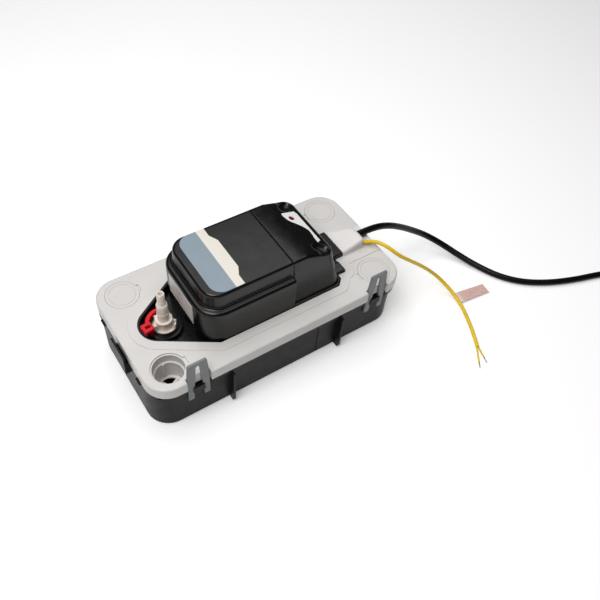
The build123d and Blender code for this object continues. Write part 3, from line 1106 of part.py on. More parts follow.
with BuildPart() as magnet:
    disc(FLOAT_PLACE, MAGNET_RADIUS - FIT, FLOAT_LOW + FLOAT_HEIGHT - MAGNET_HEIGHT,
         FLOAT_LOW + FLOAT_HEIGHT, inner=STEM_RADIUS + FLOAT_GAP)
save(magnet.part, "float_magnet")

with BuildPart() as reed:
    disc(FLOAT_PLACE, REED_RADIUS, REED_LOW, REED_LOW + REED_LENGTH)
save(reed.part, "reed_switch")

# ---------------------------------------------------------------- control board
BOARD_TOP = BOARD_Z + BOARD_THICK

with BuildPart() as board:
    with BuildSketch(Plane.XY.offset(BOARD_Z)) as face:
        with Locations((BOARD_X, 0)):
            Rectangle(BOARD_LENGTH, BOARD_WIDTH)
        with Locations(*BOARD_POSTS):
            Circle(SCREW_RADIUS + FIT, mode=Mode.SUBTRACT)
    extrude(face.sketch, amount=BOARD_THICK)
save(board.part, "control_board")

with BuildPart() as relay:
    with Locations((BOARD_X, BOARD_WIDTH / 4, BOARD_TOP + RELAY[2] / 2)):
        Box(*RELAY)
    fillet(relay.edges().filter_by(Axis.Z), RELAY_ROUND)
save(relay.part, "relay")

with BuildPart() as terminals:
    with Locations((BOARD_X + BOARD_LENGTH / 4, -BOARD_WIDTH / 6, BOARD_TOP + TERMINALS[2] / 2)):
        Box(*TERMINALS)
        with GridLocations(0, TERMINALS[1] / TERMINAL_COUNT, 1, TERMINAL_COUNT):
            CounterBoreHole(SCREW_RADIUS / 2, SCREW_RADIUS, TERMINALS[2] / 3, TERMINALS[2] / 2)
save(terminals.part, "terminal_block")


# ---------------------------------------------------------------- screws
def screws(places, head_z, length, up, name):
    """A group of pan-head screws; up is +1 where the shank points up and -1 where it points down."""
    with BuildPart() as group:
        for place in places:
            disc(place, SCREW_RADIUS, *sorted((head_z, head_z + up * length)))
            disc(place, SCREW_HEAD_RADIUS, *sorted((head_z, head_z - up * SCREW_HEAD)))
            with BuildSketch(Plane.XY.offset(head_z - up * SCREW_HEAD)) as cross:
                with Locations(place):
                    Rectangle(SCREW_HEAD_RADIUS, SCREW_SLOT)
                    Rectangle(SCREW_SLOT, SCREW_HEAD_RADIUS)
            extrude(cross.sketch, amount=up * SCREW_HEAD / 2, mode=Mode.SUBTRACT)
    save(group.part, name)


screws(TRAY_SCREWS, LID_UNDER - TRAY_FLANGE_THICK, TRAY_FLANGE_THICK, 1, "tray_screws")
screws(COVER_POSTS, TRAY_UNDER, TRAY_FLOOR_THICK + SCREW_BITE - FIT, 1, "cover_screws")
screws(MOTOR_POSTS, STATOR_TOP, STATOR_HEIGHT + SCREW_BITE, -1, "motor_screws")
screws(BOARD_POSTS, BOARD_TOP, BOARD_THICK + SCREW_BITE, -1, "board_screws")

# ---------------------------------------------------------------- cable entry and gland
with BuildPart() as cable_entry:
    box_between((REAR_FOOT_X + FIT, REAR_TONGUE_X - 2 * FIT - TRAY_WALL),
                (2 * FIT + TRAY_WALL - REAR_TONGUE_Y, REAR_TONGUE_Y - 2 * FIT - TRAY_WALL),
                (TRAY_FLOOR, TRAY_RIM))
    box_between((REAR_FOOT_X + FIT, REAR_TONGUE_X - FIT),
                (FIT - REAR_TONGUE_Y, REAR_TONGUE_Y - FIT), (TRAY_RIM, ENTRY_TOP))
    fillet(cable_entry.edges().group_by(Axis.Z)[-1], ENTRY_ROUND)
save(cable_entry.part, "cable_entry")

with BuildPart() as gland:
    box_between((GLAND_START, GLAND_START + GLAND_BASE_LENGTH),
                (GLAND_Y - GLAND_WIDTH / 2, GLAND_Y + GLAND_WIDTH / 2), (LID_FACE, LID_FACE + GLAND_BASE))
    with BuildSketch(Plane.XZ.offset(-(GLAND_HUMP_Y + GLAND_HUMP_WIDTH / 2))) as profile:
        with BuildLine():
            Polyline(
                (GLAND_START, LID_FACE),
                (GLAND_END, LID_FACE),
                (GLAND_END, GLAND_NOSE_TOP),
                (GLAND_START + GLAND_LENGTH / 2, GLAND_TOP),
                (GLAND_START, GLAND_TOP),
                close=True,
            )
        make_face()
    extrude(profile.sketch, amount=GLAND_HUMP_WIDTH)
    hump_edges = [
        edge for edge in gland.edges()
        if edge.center().Z > LID_FACE + GLAND_BASE + 1 and abs(edge.tangent_at(0.5).Y) < 0.5
        and edge.center().X > GLAND_START + 0.5
    ]
    fillet(hump_edges, GLAND_ROUND)
save(gland.part, "cable_gland")

# ---------------------------------------------------------------- cables
save(cable(MAINS_ROUTE, MAINS_RADIUS, "mains cable"), "mains_cable")
save(cable(PLUG_ROUTE, MAINS_RADIUS, "mains cable to the plug"), "mains_cable_tail")
save(cable(ALARM_ROUTE, ALARM_RADIUS, "alarm cable"), "alarm_cable")

COIL_INSIDE = COIL_MIDDLE - COIL_ROWS * MAINS_RADIUS
COIL_OUTSIDE = COIL_MIDDLE + COIL_ROWS * MAINS_RADIUS
COIL_TOP = 2 * MAINS_RADIUS * COIL_LAYERS


def tie_section(plane):
    """The outline that the tie is wrapped round: the coil's section with its one turn on top."""
    inside, outside = COIL_INSIDE - FIT, COIL_OUTSIDE + FIT
    step = COIL_INSIDE + 2 * MAINS_RADIUS + FIT
    top = COIL_TOP + 2 * MAINS_RADIUS + FIT
    with BuildSketch(plane) as section:
        with BuildLine():
            Polyline((inside, TIE_THICK), (outside, TIE_THICK), (outside, COIL_TOP + FIT), (step, top),
                     (inside, top), close=True)
        make_face()
    return section.sketch


with BuildPart() as coil:
    disc(COIL_CENTRE, COIL_OUTSIDE, 0, COIL_TOP, inner=COIL_INSIDE)
    disc(COIL_CENTRE, COIL_INSIDE + 2 * MAINS_RADIUS, COIL_TOP, COIL_TOP + 2 * MAINS_RADIUS,
         inner=COIL_INSIDE)
    # the tie passes under the coil in this shallow groove
    with Locations(Location((*COIL_CENTRE, (TIE_THICK + FIT) / 2), (0, 0, TIE_ANGLE))):
        with Locations((COIL_MIDDLE, 0, 0)):
            Box(COIL_OUTSIDE, TIE_WIDTH + 2 * FIT, TIE_THICK + FIT, mode=Mode.SUBTRACT)
save(coil.part, "mains_coil")

with BuildPart() as tie:
    turned = radians(TIE_ANGLE)
    across = Plane(origin=(*COIL_CENTRE, 0), x_dir=(cos(turned), sin(turned), 0),
                   z_dir=(sin(turned), -cos(turned), 0))
    extrude(offset(tie_section(across), amount=TIE_THICK), amount=TIE_WIDTH / 2, both=True)
    extrude(tie_section(across), amount=TIE_WIDTH / 2, both=True, mode=Mode.SUBTRACT)
save(tie.part, "coil_tie")

# plug: a moulded body with a strain relief, two blades and an earth pin
cord_end = Vector(*PLUG_ROUTE[-1])
along = Vector(cord_end.X - PLUG_ROUTE[-2][0], cord_end.Y - PLUG_ROUTE[-2][1], 0).normalized()
body_start = Vector(cord_end.X, cord_end.Y, PLUG_HEIGHT / 2) + along * RELIEF_LENGTH
BODY_PLANE = Plane(origin=body_start, x_dir=along.cross(Vector(0, 0, 1)), z_dir=along)
RELIEF_PLANE = Plane(origin=cord_end, z_dir=cord_end - Vector(*PLUG_ROUTE[-2]))
FACE_PLANE = BODY_PLANE.offset(PLUG_LENGTH)

with BuildPart() as plug_body:
    with BuildSketch(BODY_PLANE) as back:
        RectangleRounded(PLUG_WIDTH * PLUG_NECK, PLUG_HEIGHT * PLUG_NECK, PLUG_ROUND)
    with BuildSketch(BODY_PLANE.offset(PLUG_LENGTH * PLUG_NECK / 2)) as middle:
        RectangleRounded(PLUG_WIDTH, PLUG_HEIGHT, PLUG_ROUND)
    loft(sections=[back.sketch, middle.sketch])
    extrude(middle.sketch, amount=PLUG_LENGTH * (1 - PLUG_NECK / 2))
    with BuildSketch(RELIEF_PLANE) as small:
        Circle(RELIEF_SMALL)
    with BuildSketch(BODY_PLANE.offset(FIT)) as large:
        Circle(RELIEF_LARGE)
    loft(sections=[small.sketch, large.sketch])
save(plug_body.part, "mains_plug")

with BuildPart() as pins:
    with BuildSketch(FACE_PLANE) as blades:
        with Locations((-BLADE_SPACING / 2, -EARTH_OFFSET / 2), (BLADE_SPACING / 2, -EARTH_OFFSET / 2)):
            Rectangle(BLADE_THICK, BLADE_WIDTH)
    extrude(blades.sketch, amount=BLADE_LENGTH)
    with BuildSketch(FACE_PLANE) as earth:
        with Locations((0, EARTH_OFFSET / 2)):
            Circle(EARTH_RADIUS)
    extrude(earth.sketch, amount=EARTH_LENGTH)
save(pins.part, "mains_plug_pins")

# the alarm cable's two cores, stripped at their ends
jacket_end = Vector(*ALARM_ROUTE[-1])
jacket_way = (jacket_end - Vector(*ALARM_ROUTE[-2])).normalized()
beside = jacket_way.cross(Vector(0, 0, 1)).normalized() * (CORE_RADIUS + RUN)

with BuildPart() as cores:
    for end, side in zip(CORE_ENDS, (1, -1)):
        start = jacket_end + beside * side
        with BuildSketch(Plane(origin=start, z_dir=jacket_way)) as core:
            Circle(CORE_RADIUS)
        way = Vector(*end) - start
        extrude(core.sketch, amount=way.length, dir=way)
save(cores.part, "alarm_cores")

with BuildPart() as wires:
    for end, side in zip(CORE_ENDS, (1, -1)):
        way = Vector(*end) - jacket_end - beside * side
        with BuildSketch(Plane(origin=end, z_dir=jacket_way)) as wire:
            Circle(WIRE_RADIUS)
        extrude(wire.sketch, amount=WIRE_LENGTH, dir=Vector(way.X, way.Y, 0))
save(wires.part, "alarm_wire_ends")

# a bare flag label round the alarm cable; its free end rests on the floor
tag_start, tag_end = Vector(*TAG_START), Vector(*TAG_END)
tag_way = tag_end - tag_start
TAG_PLANE = Plane(origin=(tag_start + tag_end) * 0.5, x_dir=tag_way,
                  z_dir=tag_way.cross(Vector(0, 0, 1).cross(tag_way)))

with BuildPart() as tag:
    with BuildSketch(TAG_PLANE):
        Rectangle(tag_way.length, TAG_WIDTH)
    extrude(amount=TAG_THICK)
save(tag.part, "cord_tag")
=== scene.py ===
"""The looks of a condensate pump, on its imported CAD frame. Metres, +Z up, +X towards the cables."""
import bmesh
import bpy
import json
from math import cos, pi, radians, sin
from mathutils import Matrix, Vector


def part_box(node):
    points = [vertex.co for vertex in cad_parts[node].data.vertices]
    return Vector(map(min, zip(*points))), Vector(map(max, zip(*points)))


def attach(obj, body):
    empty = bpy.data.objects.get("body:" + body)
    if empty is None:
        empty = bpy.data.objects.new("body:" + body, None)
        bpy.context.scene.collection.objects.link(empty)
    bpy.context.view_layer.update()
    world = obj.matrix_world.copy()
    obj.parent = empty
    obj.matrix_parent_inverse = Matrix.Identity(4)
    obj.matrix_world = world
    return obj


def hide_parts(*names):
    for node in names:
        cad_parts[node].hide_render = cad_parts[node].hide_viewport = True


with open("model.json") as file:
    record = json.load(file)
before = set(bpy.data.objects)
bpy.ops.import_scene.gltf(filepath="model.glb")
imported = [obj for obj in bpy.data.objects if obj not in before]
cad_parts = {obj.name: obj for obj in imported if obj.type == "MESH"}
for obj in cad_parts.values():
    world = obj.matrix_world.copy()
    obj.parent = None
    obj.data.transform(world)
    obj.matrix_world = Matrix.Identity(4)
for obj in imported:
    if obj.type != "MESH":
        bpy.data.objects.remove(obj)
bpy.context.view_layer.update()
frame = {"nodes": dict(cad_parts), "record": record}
MM = 0.001

# ---------------------------------------------------------------- camera and light
# The camera stands where the photograph's stood, with its angles in degrees.
CAMERA_PLACE = Vector((-230.95, -372.35, 592.18)) * MM
CAMERA_AZIMUTH = -38.28
CAMERA_ELEVATION = 51.37
CAMERA_ROLL = 6.21
CAMERA_LENS = 41.5

scene = bpy.context.scene
scene.view_settings.view_transform = "Standard"


def add(name, data):
    """A new object in the scene."""
    made = bpy.data.objects.new(name, data)
    scene.collection.objects.link(made)
    return made


def add_camera():
    lens = bpy.data.cameras.new("camera")
    lens.lens = CAMERA_LENS
    camera = add("camera", lens)
    turn = Matrix.Rotation(radians(CAMERA_AZIMUTH), 4, "Z")
    tilt = Matrix.Rotation(radians(90 - CAMERA_ELEVATION), 4, "X")
    roll = Matrix.Rotation(radians(CAMERA_ROLL), 4, "Z")
    camera.matrix_world = Matrix.Translation(CAMERA_PLACE) @ turn @ tilt @ roll
    scene.camera = camera


def add_softbox(name, place, target, width, height, power):
    """A rectangular lamp at a place, turned to face a target."""
    light = bpy.data.lights.new(name, "AREA")
    light.shape = "RECTANGLE"
    light.size = width
    light.size_y = height
    light.energy = power
    lamp = add(name, light)
    facing = (Vector(target) - Vector(place)).to_track_quat("-Z", "Y")
    lamp.matrix_world = Matrix.Translation(place) @ facing.to_matrix().to_4x4()


def add_world(strength):
    """A soft even world, which the camera sees as white."""
    world = bpy.data.worlds.new("studio")
    world.use_nodes = True
    tree = world.node_tree
    rays = tree.nodes.new("ShaderNodeLightPath")
    level = tree.nodes.new("ShaderNodeMapRange")
    level.inputs["To Min"].default_value = strength
    tree.links.new(rays.outputs["Is Camera Ray"], level.inputs["Value"])
    tree.nodes["Background"].inputs["Color"].default_value = (1, 1, 1, 1)
    tree.links.new(level.outputs["Result"], tree.nodes["Background"].inputs["Strength"])
    scene.world = world


add_camera()
add_softbox("overhead", (0.14, 0.34, 1.35), (0.05, 0, 0), 1.4, 1.4, 12)
add_softbox("key", (-0.52, -0.2, 1.1), (-0.05, 0, 0.08), 0.6, 0.6, 8)
add_world(0.06)

# ---------------------------------------------------------------- material building
PLASTIC_GRAIN = 0.5 * MM    # size of the fine grain on moulded plastic
RING_PITCH = 1.1 * MM       # mould rings up the outlet
BADGE_SPLIT = -38.9 * MM    # the badge is blue-grey on the outlet's side of here and cream on the other
LENS_SPOT = (0.6 * MM, 1.1 * MM)    # where the lens's dark middle point fades into its pale field
LENS_RING = (1.7 * MM, 2.2 * MM)    # and where that fades into its dark ring


class Nodes:
    """A material's node tree, with short ways to add and join nodes."""

    def __init__(self, name):
        self.material = bpy.data.materials.new(name)
        self.material.use_nodes = True
        self.tree = self.material.node_tree
        self.tree.nodes.clear()
        self.shader = self.node("ShaderNodeBsdfPrincipled")
        output = self.node("ShaderNodeOutputMaterial")
        self.join(self.shader.outputs["BSDF"], output.inputs["Surface"])
        self.place = self.node("ShaderNodeTexCoord").outputs["Object"]

    def node(self, kind, **settings):
        made = self.tree.nodes.new(kind)
        for key, value in settings.items():
            setattr(made, key, value)
        return made

    def join(self, output, socket):
        self.tree.links.new(output, socket)

    def set(self, **values):
        """Sets sockets of the shader: a number or colour is a constant, anything else is linked."""
        for key, value in values.items():
            self.feed(self.shader.inputs[key.replace("_", " ")], value)

    def feed(self, socket, value):
        if isinstance(value, bpy.types.NodeSocket):
            self.join(value, socket)
        else:
            socket.default_value = value

    def noise(self, size, detail=3.0, stretch=(1, 1, 1)):
        """Noise whose lumps are about this size, in metres; 0 to 1."""
        mapping = self.node("ShaderNodeMapping")
        mapping.inputs["Scale"].default_value = stretch
        self.join(self.place, mapping.inputs["Vector"])
        noise = self.node("ShaderNodeTexNoise")
        noise.inputs["Scale"].default_value = 1 / size
        noise.inputs["Detail"].default_value = detail
        self.join(mapping.outputs["Vector"], noise.inputs["Vector"])
        return noise.outputs["Fac"]

    def spread(self, value, low, high, start=0.0, end=1.0):
        """Maps a value from start..end to low..high."""
        spread = self.node("ShaderNodeMapRange")
        self.join(value, spread.inputs["Value"])
        spread.inputs["From Min"].default_value = start
        spread.inputs["From Max"].default_value = end
        spread.inputs["To Min"].default_value = low
        spread.inputs["To Max"].default_value = high
        return spread.outputs["Result"]

    def blend(self, share, first, second):
        """Mixes two colours."""
        blend = self.node("ShaderNodeMix", data_type="RGBA")
        self.feed(blend.inputs[0], share)
        self.feed(blend.inputs[6], first)
        self.feed(blend.inputs[7], second)
        return blend.outputs[2]

    def maths(self, operation, first, second=0.0):
        step = self.node("ShaderNodeMath", operation=operation)
        self.feed(step.inputs[0], first)
        self.feed(step.inputs[1], second)
        return step.outputs[0]

    def axis(self, letter):
        """One coordinate of the point, in metres."""
        split = self.node("ShaderNodeSeparateXYZ")
        self.join(self.place, split.inputs["Vector"])
        return split.outputs[letter]

    def rounded(self, radius):
        """A surface direction that softens edges over a radius, in metres."""
        bevel = self.node("ShaderNodeBevel", samples=8)
        bevel.inputs["Radius"].default_value = radius
        return bevel.outputs["Normal"]

    def bump(self, height, depth, normal=None):
        """Relief whose height runs from 0 to depth, in metres."""
        bump = self.node("ShaderNodeBump")
        bump.inputs["Distance"].default_value = depth
        self.join(height, bump.inputs["Height"])
        if normal is not None:
            self.join(normal, bump.inputs["Normal"])
        return bump.outputs["Normal"]


def rgb(red, green, blue):
    """A colour from its 0 to 255 display values."""
    def linear(value):
        value /= 255
        return value / 12.92 if value <= 0.04045 else ((value + 0.055) / 1.055) ** 2.4
    return (linear(red), linear(green), linear(blue), 1.0)


def moulded(name, colour, second, rough, grain_depth=0.000006, edge=0.0004, gloss=0.5):
    """Moulded plastic: slow colour change, a fine eroded grain, patchy gloss and softened edges."""
    made = Nodes(name)
    made.set(
        Base_Color=made.blend(made.spread(made.noise(0.03), 0, 1, 0.35, 0.65), colour, second),
        Roughness=made.spread(made.noise(0.01), rough - 0.04, rough + 0.05, 0.3, 0.7),
        Normal=made.bump(made.noise(PLASTIC_GRAIN, 2.0), grain_depth, made.rounded(edge)),
        Specular_IOR_Level=gloss,
    )
    return made.material


def metal(name, colour, rough, stretch=(1, 1, 12)):
    """Bright metal with fine drawn lines."""
    made = Nodes(name)
    lines = made.noise(0.0015, 4.0, stretch)
    darker = tuple(value * 0.7 for value in colour[:3]) + (1,)
    made.set(
        Base_Color=made.blend(made.spread(lines, 0, 1, 0.4, 0.6), colour, darker),
        Metallic=1.0,
        Roughness=made.spread(lines, rough - 0.06, rough + 0.1, 0.3, 0.7),
        Normal=made.bump(lines, 0.00002, made.rounded(0.0002)),
    )
    return made.material


def ringed_lens():
    """A clear red lens: a dark ring, a pale field and a dark point at its middle."""
    made = Nodes("lens_red")
    low, high = (Vector(corner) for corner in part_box("indicator_lens"))
    middle = (low + high) / 2
    apart = made.node("ShaderNodeVectorMath", operation="DISTANCE")
    made.join(made.place, apart.inputs[0])
    apart.inputs[1].default_value = middle
    away = apart.outputs["Value"]
    field = made.blend(made.spread(away, 1, 0, *LENS_SPOT), rgb(214, 150, 150), rgb(120, 18, 26))
    made.set(
        Base_Color=made.blend(made.spread(away, 0, 1, *LENS_RING), field, rgb(128, 16, 26)),
        Roughness=made.spread(made.noise(0.004), 0.1, 0.2),
        Normal=made.rounded(0.0003),
        Transmission_Weight=0.2,
    )
    return made.material


def milky():
    """Milky half-clear plastic of the outlet: bright where it is thin, with faint mould rings."""
    made = Nodes("outlet_cream")
    rings = made.maths("SINE", made.maths("MULTIPLY", made.axis("Z"), 2 * pi / RING_PITCH))
    patches = made.spread(made.noise(0.008), 0, 1, 0.35, 0.65)
    made.set(
        Base_Color=made.blend(patches, rgb(240, 230, 220), rgb(232, 218, 206)),
        Roughness=made.spread(made.noise(0.005), 0.18, 0.3),
        Normal=made.bump(rings, 0.00003, made.rounded(0.0003)),
        Subsurface_Weight=0.35,
        Subsurface_Radius=(1, 0.8, 0.6),
        Subsurface_Scale=0.003,
    )
    return made.material


def tag_film():
    """A faded print on a thin film: mottled red, paler where it folds round its cable."""
    made = Nodes("paper_tag")
    low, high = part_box("cord_tag")
    worn = made.spread(made.noise(0.0016, 5.0), 0, 1, 0.3, 0.7)
    printed = made.blend(worn, rgb(216, 168, 160), rgb(234, 206, 198))
    fold = made.spread(made.axis("X"), 0, 1, low[0], low[0] + 0.2 * (high[0] - low[0]))
    made.set(
        Base_Color=made.blend(fold, rgb(240, 234, 230), printed),
        Roughness=made.spread(worn, 0.35, 0.55),
        Normal=made.bump(made.noise(0.004), 0.0001),
    )
    return made.material


def badge_print():
    """A printed badge with two plain fields and a satin film over them."""
    made = Nodes("badge_face")
    behind = made.maths("GREATER_THAN", made.axis("X"), BADGE_SPLIT)
    blue = made.blend(made.noise(0.02), rgb(136, 151, 163), rgb(130, 145, 156))
    made.set(
        Base_Color=made.blend(behind, blue, rgb(226, 220, 210)),
        Roughness=made.spread(made.noise(0.006), 0.28, 0.4),
        Normal=made.bump(made.noise(0.0006, 2.0), 0.000006, made.rounded(0.0002)),
    )
    return made.material


MATERIALS = {
    "lid_grey": moulded("lid_grey", rgb(214, 211, 208), rgb(210, 207, 204), 0.42, grain_depth=0.000004),
    "tank_black": moulded("tank_black", rgb(20, 20, 20), rgb(16, 16, 16), 0.42, gloss=0.14),
    "cover_black": moulded("cover_black", rgb(10, 10, 10), rgb(8, 8, 8), 0.24,
                           grain_depth=0.0000025, edge=0.0025, gloss=0.36),
    "tray_black": moulded("tray_black", rgb(6, 6, 7), rgb(4, 4, 5), 0.25, gloss=0.25),
    "bracket_grey": moulded("bracket_grey", rgb(122, 125, 126), rgb(113, 116, 117), 0.42),
    "outlet_cream": milky(),
    "collar_red": moulded("collar_red", rgb(218, 0, 26), rgb(204, 0, 22), 0.32, gloss=0.3),
    "badge_face": badge_print(),
    "silver_label": moulded("silver_label", rgb(214, 209, 205), rgb(200, 195, 191), 0.3),
    "white_label": moulded("white_label", rgb(240, 240, 238), rgb(234, 234, 232), 0.3),
    "lens_red": ringed_lens(),
    "gland_white": moulded("gland_white", rgb(228, 224, 222), rgb(222, 217, 215), 0.34),
    "black_cable": moulded("black_cable", rgb(8, 8, 9), rgb(5, 5, 6), 0.35, edge=0.0001, gloss=0.2),
    "yellow_cable": moulded("yellow_cable", rgb(240, 202, 8), rgb(232, 190, 4), 0.38, edge=0.0001),
    "tinned_wire": metal("tinned_wire", rgb(170, 168, 166), 0.35),
    "paper_tag": tag_film(),
    "steel": metal("steel", rgb(190, 190, 192), 0.30),
    "laminations": metal("laminations", rgb(110, 110, 112), 0.45, (1, 1, 30)),
    "copper": metal("copper", rgb(184, 108, 66), 0.30, (1, 1, 30)),
    "bronze": metal("bronze", rgb(176, 138, 84), 0.40),
    "pump_plastic": moulded("pump_plastic", rgb(44, 44, 45), rgb(38, 38, 39), 0.45),
    "impeller_plastic": moulded("impeller_plastic", rgb(208, 204, 194), rgb(200, 195, 184), 0.45),
    "float_plastic": moulded("float_plastic", rgb(222, 218, 206), rgb(214, 209, 196), 0.55),
    "magnet": moulded("magnet", rgb(60, 60, 62), rgb(50, 50, 52), 0.6),
    "seal_rubber": moulded("seal_rubber", rgb(36, 36, 36), rgb(30, 30, 30), 0.6),
    "reed_glass": moulded("reed_glass", rgb(190, 214, 200), rgb(180, 206, 190), 0.1),
    "board_green": moulded("board_green", rgb(30, 96, 58), rgb(24, 84, 50), 0.35),
    "relay_blue": moulded("relay_blue", rgb(40, 70, 150), rgb(34, 62, 140), 0.3),
    "terminal_green": moulded("terminal_green", rgb(60, 140, 84), rgb(52, 128, 76), 0.4),
    "plug_brass": metal("plug_brass", rgb(206, 178, 112), 0.25),
    "tie_black": moulded("tie_black", rgb(34, 34, 35), rgb(26, 26, 27), 0.8),
}

for part in frame["record"]["subparts"]:
    node = frame["nodes"][part["node"]]
    node.data.materials.clear()
    node.data.materials.append(MATERIALS[part["material_slot"]])

# ---------------------------------------------------------------- shapes made here
# Sizes in this section are in millimetres, and angles in degrees.
LID_FACE = 67.7         # top of the lid's raised panel
TRAY_FLOOR = 58.0
COVER_TOP = 123.5
OUTLET_X = -95.0
ROUND_STEPS = 64        # faces round the outlet
CORNER_STEPS = 5        # faces round each corner of a rounded box


def skin(mesh, loops, joined=False):
    """Faces between loops of as many points, closed by a cap at each end or joined into a ring."""
    rows = [[mesh.verts.new(Vector(point) * MM) for point in loop] for loop in loops]
    pairs = list(zip(rows, rows[1:]))
    if joined:
        pairs.append((rows[-1], rows[0]))
    else:
        mesh.faces.new(rows[0])
        mesh.faces.new(rows[-1])
    for row, after in pairs:
        for a, b, c, d in zip(row, row[1:] + row[:1], after[1:] + after[:1], after):
            mesh.faces.new((a, b, c, d))


def around(profile, start, end, steps):
    """A profile of (radius, height), turned about the outlet's axis, one loop a step."""
    turns = [radians(start + (end - start) * step / steps) for step in range(steps + 1)]
    return [[(OUTLET_X + r * cos(turn), r * sin(turn), z) for r, z in profile] for turn in turns]


def rounded_box(low, high, radii):
    """The outline of a rounded rectangle, anticlockwise from its lowest right corner."""
    (x_low, y_low), (x_high, y_high) = low, high
    corners = [
        (x_high, y_low, -1, 1, 270), (x_high, y_high, -1, -1, 0),
        (x_low, y_high, 1, -1, 90), (x_low, y_low, 1, 1, 180),
    ]
    outline = []
    for (x, y, right, up, start), radius in zip(corners, radii):
        for step in range(CORNER_STEPS + 1):
            turn = radians(start + 90 * step / CORNER_STEPS)
            outline.append((x + radius * (right + cos(turn)), y + radius * (up + sin(turn))))
    return outline


def add_piece(name, mesh, material, node, body, edge=0.3, sharp=35):
    """A piece that stands for a CAD node. Edges that turn by more than sharp degrees get a round."""
    bmesh.ops.recalc_face_normals(mesh, faces=mesh.faces)
    if edge:
        corners = [e for e in mesh.edges if e.calc_face_angle(0) > radians(sharp)]
        bmesh.ops.bevel(mesh, geom=corners, offset=edge * MM, segments=2, affect="EDGES",
                        clamp_overlap=True)
    for face in mesh.faces:
        face.smooth = True
    for side in mesh.edges:
        side.smooth = side.calc_face_angle(0) < radians(sharp)
    data = bpy.data.meshes.new(name)
    mesh.to_mesh(data)
    mesh.free()
    data.materials.append(material)
    piece = add(name, data)
    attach(piece, body)
    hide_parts(node)


# outlet: (radius, height) up the outside and down the bore
OUTLET_PROFILE = [
    (2.2, 46), (6.5, 46), (6.5, 58), (11.4, 58), (11.4, 62.2), (10.7, 62.2), (10.7, 61), (6.7, 61), (6.7, 70),
    (8.2, 70), (8.2, 72.4), (5.4, 72.4), (5.3, 79.6), (4.9, 79.8), (4.9, 80.3), (5.65, 80.5), (5.65, 82.1),
    (5.25, 82.4), (5.2, 87.9), (4.9, 88.1), (4.9, 88.6), (5.2, 88.8), (5.2, 92.8), (4.7, 94.0), (4.1, 94.6),
    (3.45, 102.3), (3.8, 102.8), (3.75, 107.7), (3.4, 108.7), (2.4, 108.7), (2.2, 108.2),
]
WING_ANGLES = (47, 119, 191, 335)
WING_ROOT = 6.0         # inside the hose tail's foot
WING_THICK = 1.6
WING_LOW = 60.6
WING_HIGH = 68.8
WING_END = 11.3
WING_CURL = 26          # how far a wing's outer end curls round
WING_CURL_STEPS = 6
WING_CURL_HIGH = 66.6


def add_outlet():
    mesh = bmesh.new()
    skin(mesh, around(OUTLET_PROFILE, 0, 360 - 360 / ROUND_STEPS, ROUND_STEPS - 1), joined=True)
    for angle in WING_ANGLES:
        along = Vector((cos(radians(angle)), sin(radians(angle))))
        across = Vector((-along.y, along.x)) * WING_THICK / 2
        foot = [along * WING_ROOT - across, along * WING_END - across,
                along * WING_END + across, along * WING_ROOT + across]
        skin(mesh, [[(OUTLET_X + p.x, p.y, z) for p in foot] for z in (WING_LOW, WING_HIGH)])
        curl = [(WING_END - WING_THICK, WING_LOW), (WING_END, WING_LOW),
                (WING_END, WING_CURL_HIGH), (WING_END - WING_THICK, WING_CURL_HIGH)]
        skin(mesh, around(curl, angle, angle - WING_CURL, WING_CURL_STEPS))
    add_piece("outlet_fitting", mesh, MATERIALS["outlet_cream"], "outlet", "base",
              edge=0.15)


# locking collar: an open ring and a slotted lever that reaches over the tray's rim
COLLAR_INNER = 13.6
COLLAR_OUTER = 17.4
COLLAR_LOW = TRAY_FLOOR + 4.0
COLLAR_HIGH = 68.3
COLLAR_ARC = (60, 200)  # from and to, round the outlet
COLLAR_STEPS = 28
LEVER_ANGLE = 186
LEVER_REACH = (12.2, 22.5)
LEVER_WIDTH = 10.5
LEVER_ROUND = 1.5
LEVER_LOW = LID_FACE + 0.4
LEVER_HIGH = 72.5
SLOT_REACH = (14.0, 19.4)
SLOT_WIDTH = 2.4
SLOT_ROUND = 0.8
POST_INSET = (0.6, 0.5)     # the lever's two posts, off the slot and off the lever's sides
POST_OVERLAP = 1.0          # how far they run up into the lever


def add_collar():
    mesh = bmesh.new()
    ring = [(COLLAR_INNER, COLLAR_LOW), (COLLAR_OUTER, COLLAR_LOW),
            (COLLAR_OUTER, COLLAR_HIGH), (COLLAR_INNER, COLLAR_HIGH)]
    skin(mesh, around(ring, *COLLAR_ARC, COLLAR_STEPS))
    turn = Matrix.Translation((OUTLET_X, 0, 0)) @ Matrix.Rotation(radians(LEVER_ANGLE), 4, "Z")

    def outline(reach, width, rounding, height):
        flat = rounded_box((reach[0], -width / 2), (reach[1], width / 2), [rounding] * 4)
        return [turn @ Vector((x, y, height)) for x, y in flat]

    outside = [outline(LEVER_REACH, LEVER_WIDTH, LEVER_ROUND, z) for z in (LEVER_LOW, LEVER_HIGH)]
    inside = [outline(SLOT_REACH, SLOT_WIDTH, SLOT_ROUND, z) for z in (LEVER_HIGH, LEVER_LOW)]
    skin(mesh, outside + inside, joined=True)
    near = SLOT_WIDTH / 2 + POST_INSET[0]
    far = LEVER_WIDTH / 2 - POST_INSET[1]
    for side in (-1, 1):
        post = [(COLLAR_INNER, side * near), (COLLAR_OUTER, side * near),
                (COLLAR_OUTER, side * far), (COLLAR_INNER, side * far)]
        ends = (COLLAR_LOW, LEVER_LOW + POST_OVERLAP)
        skin(mesh, [[turn @ Vector((x, y, z)) for x, y in post] for z in ends])
    add_piece("collar_ring", mesh, MATERIALS["collar_red"], "locking_collar", "collar",
              edge=0.5)


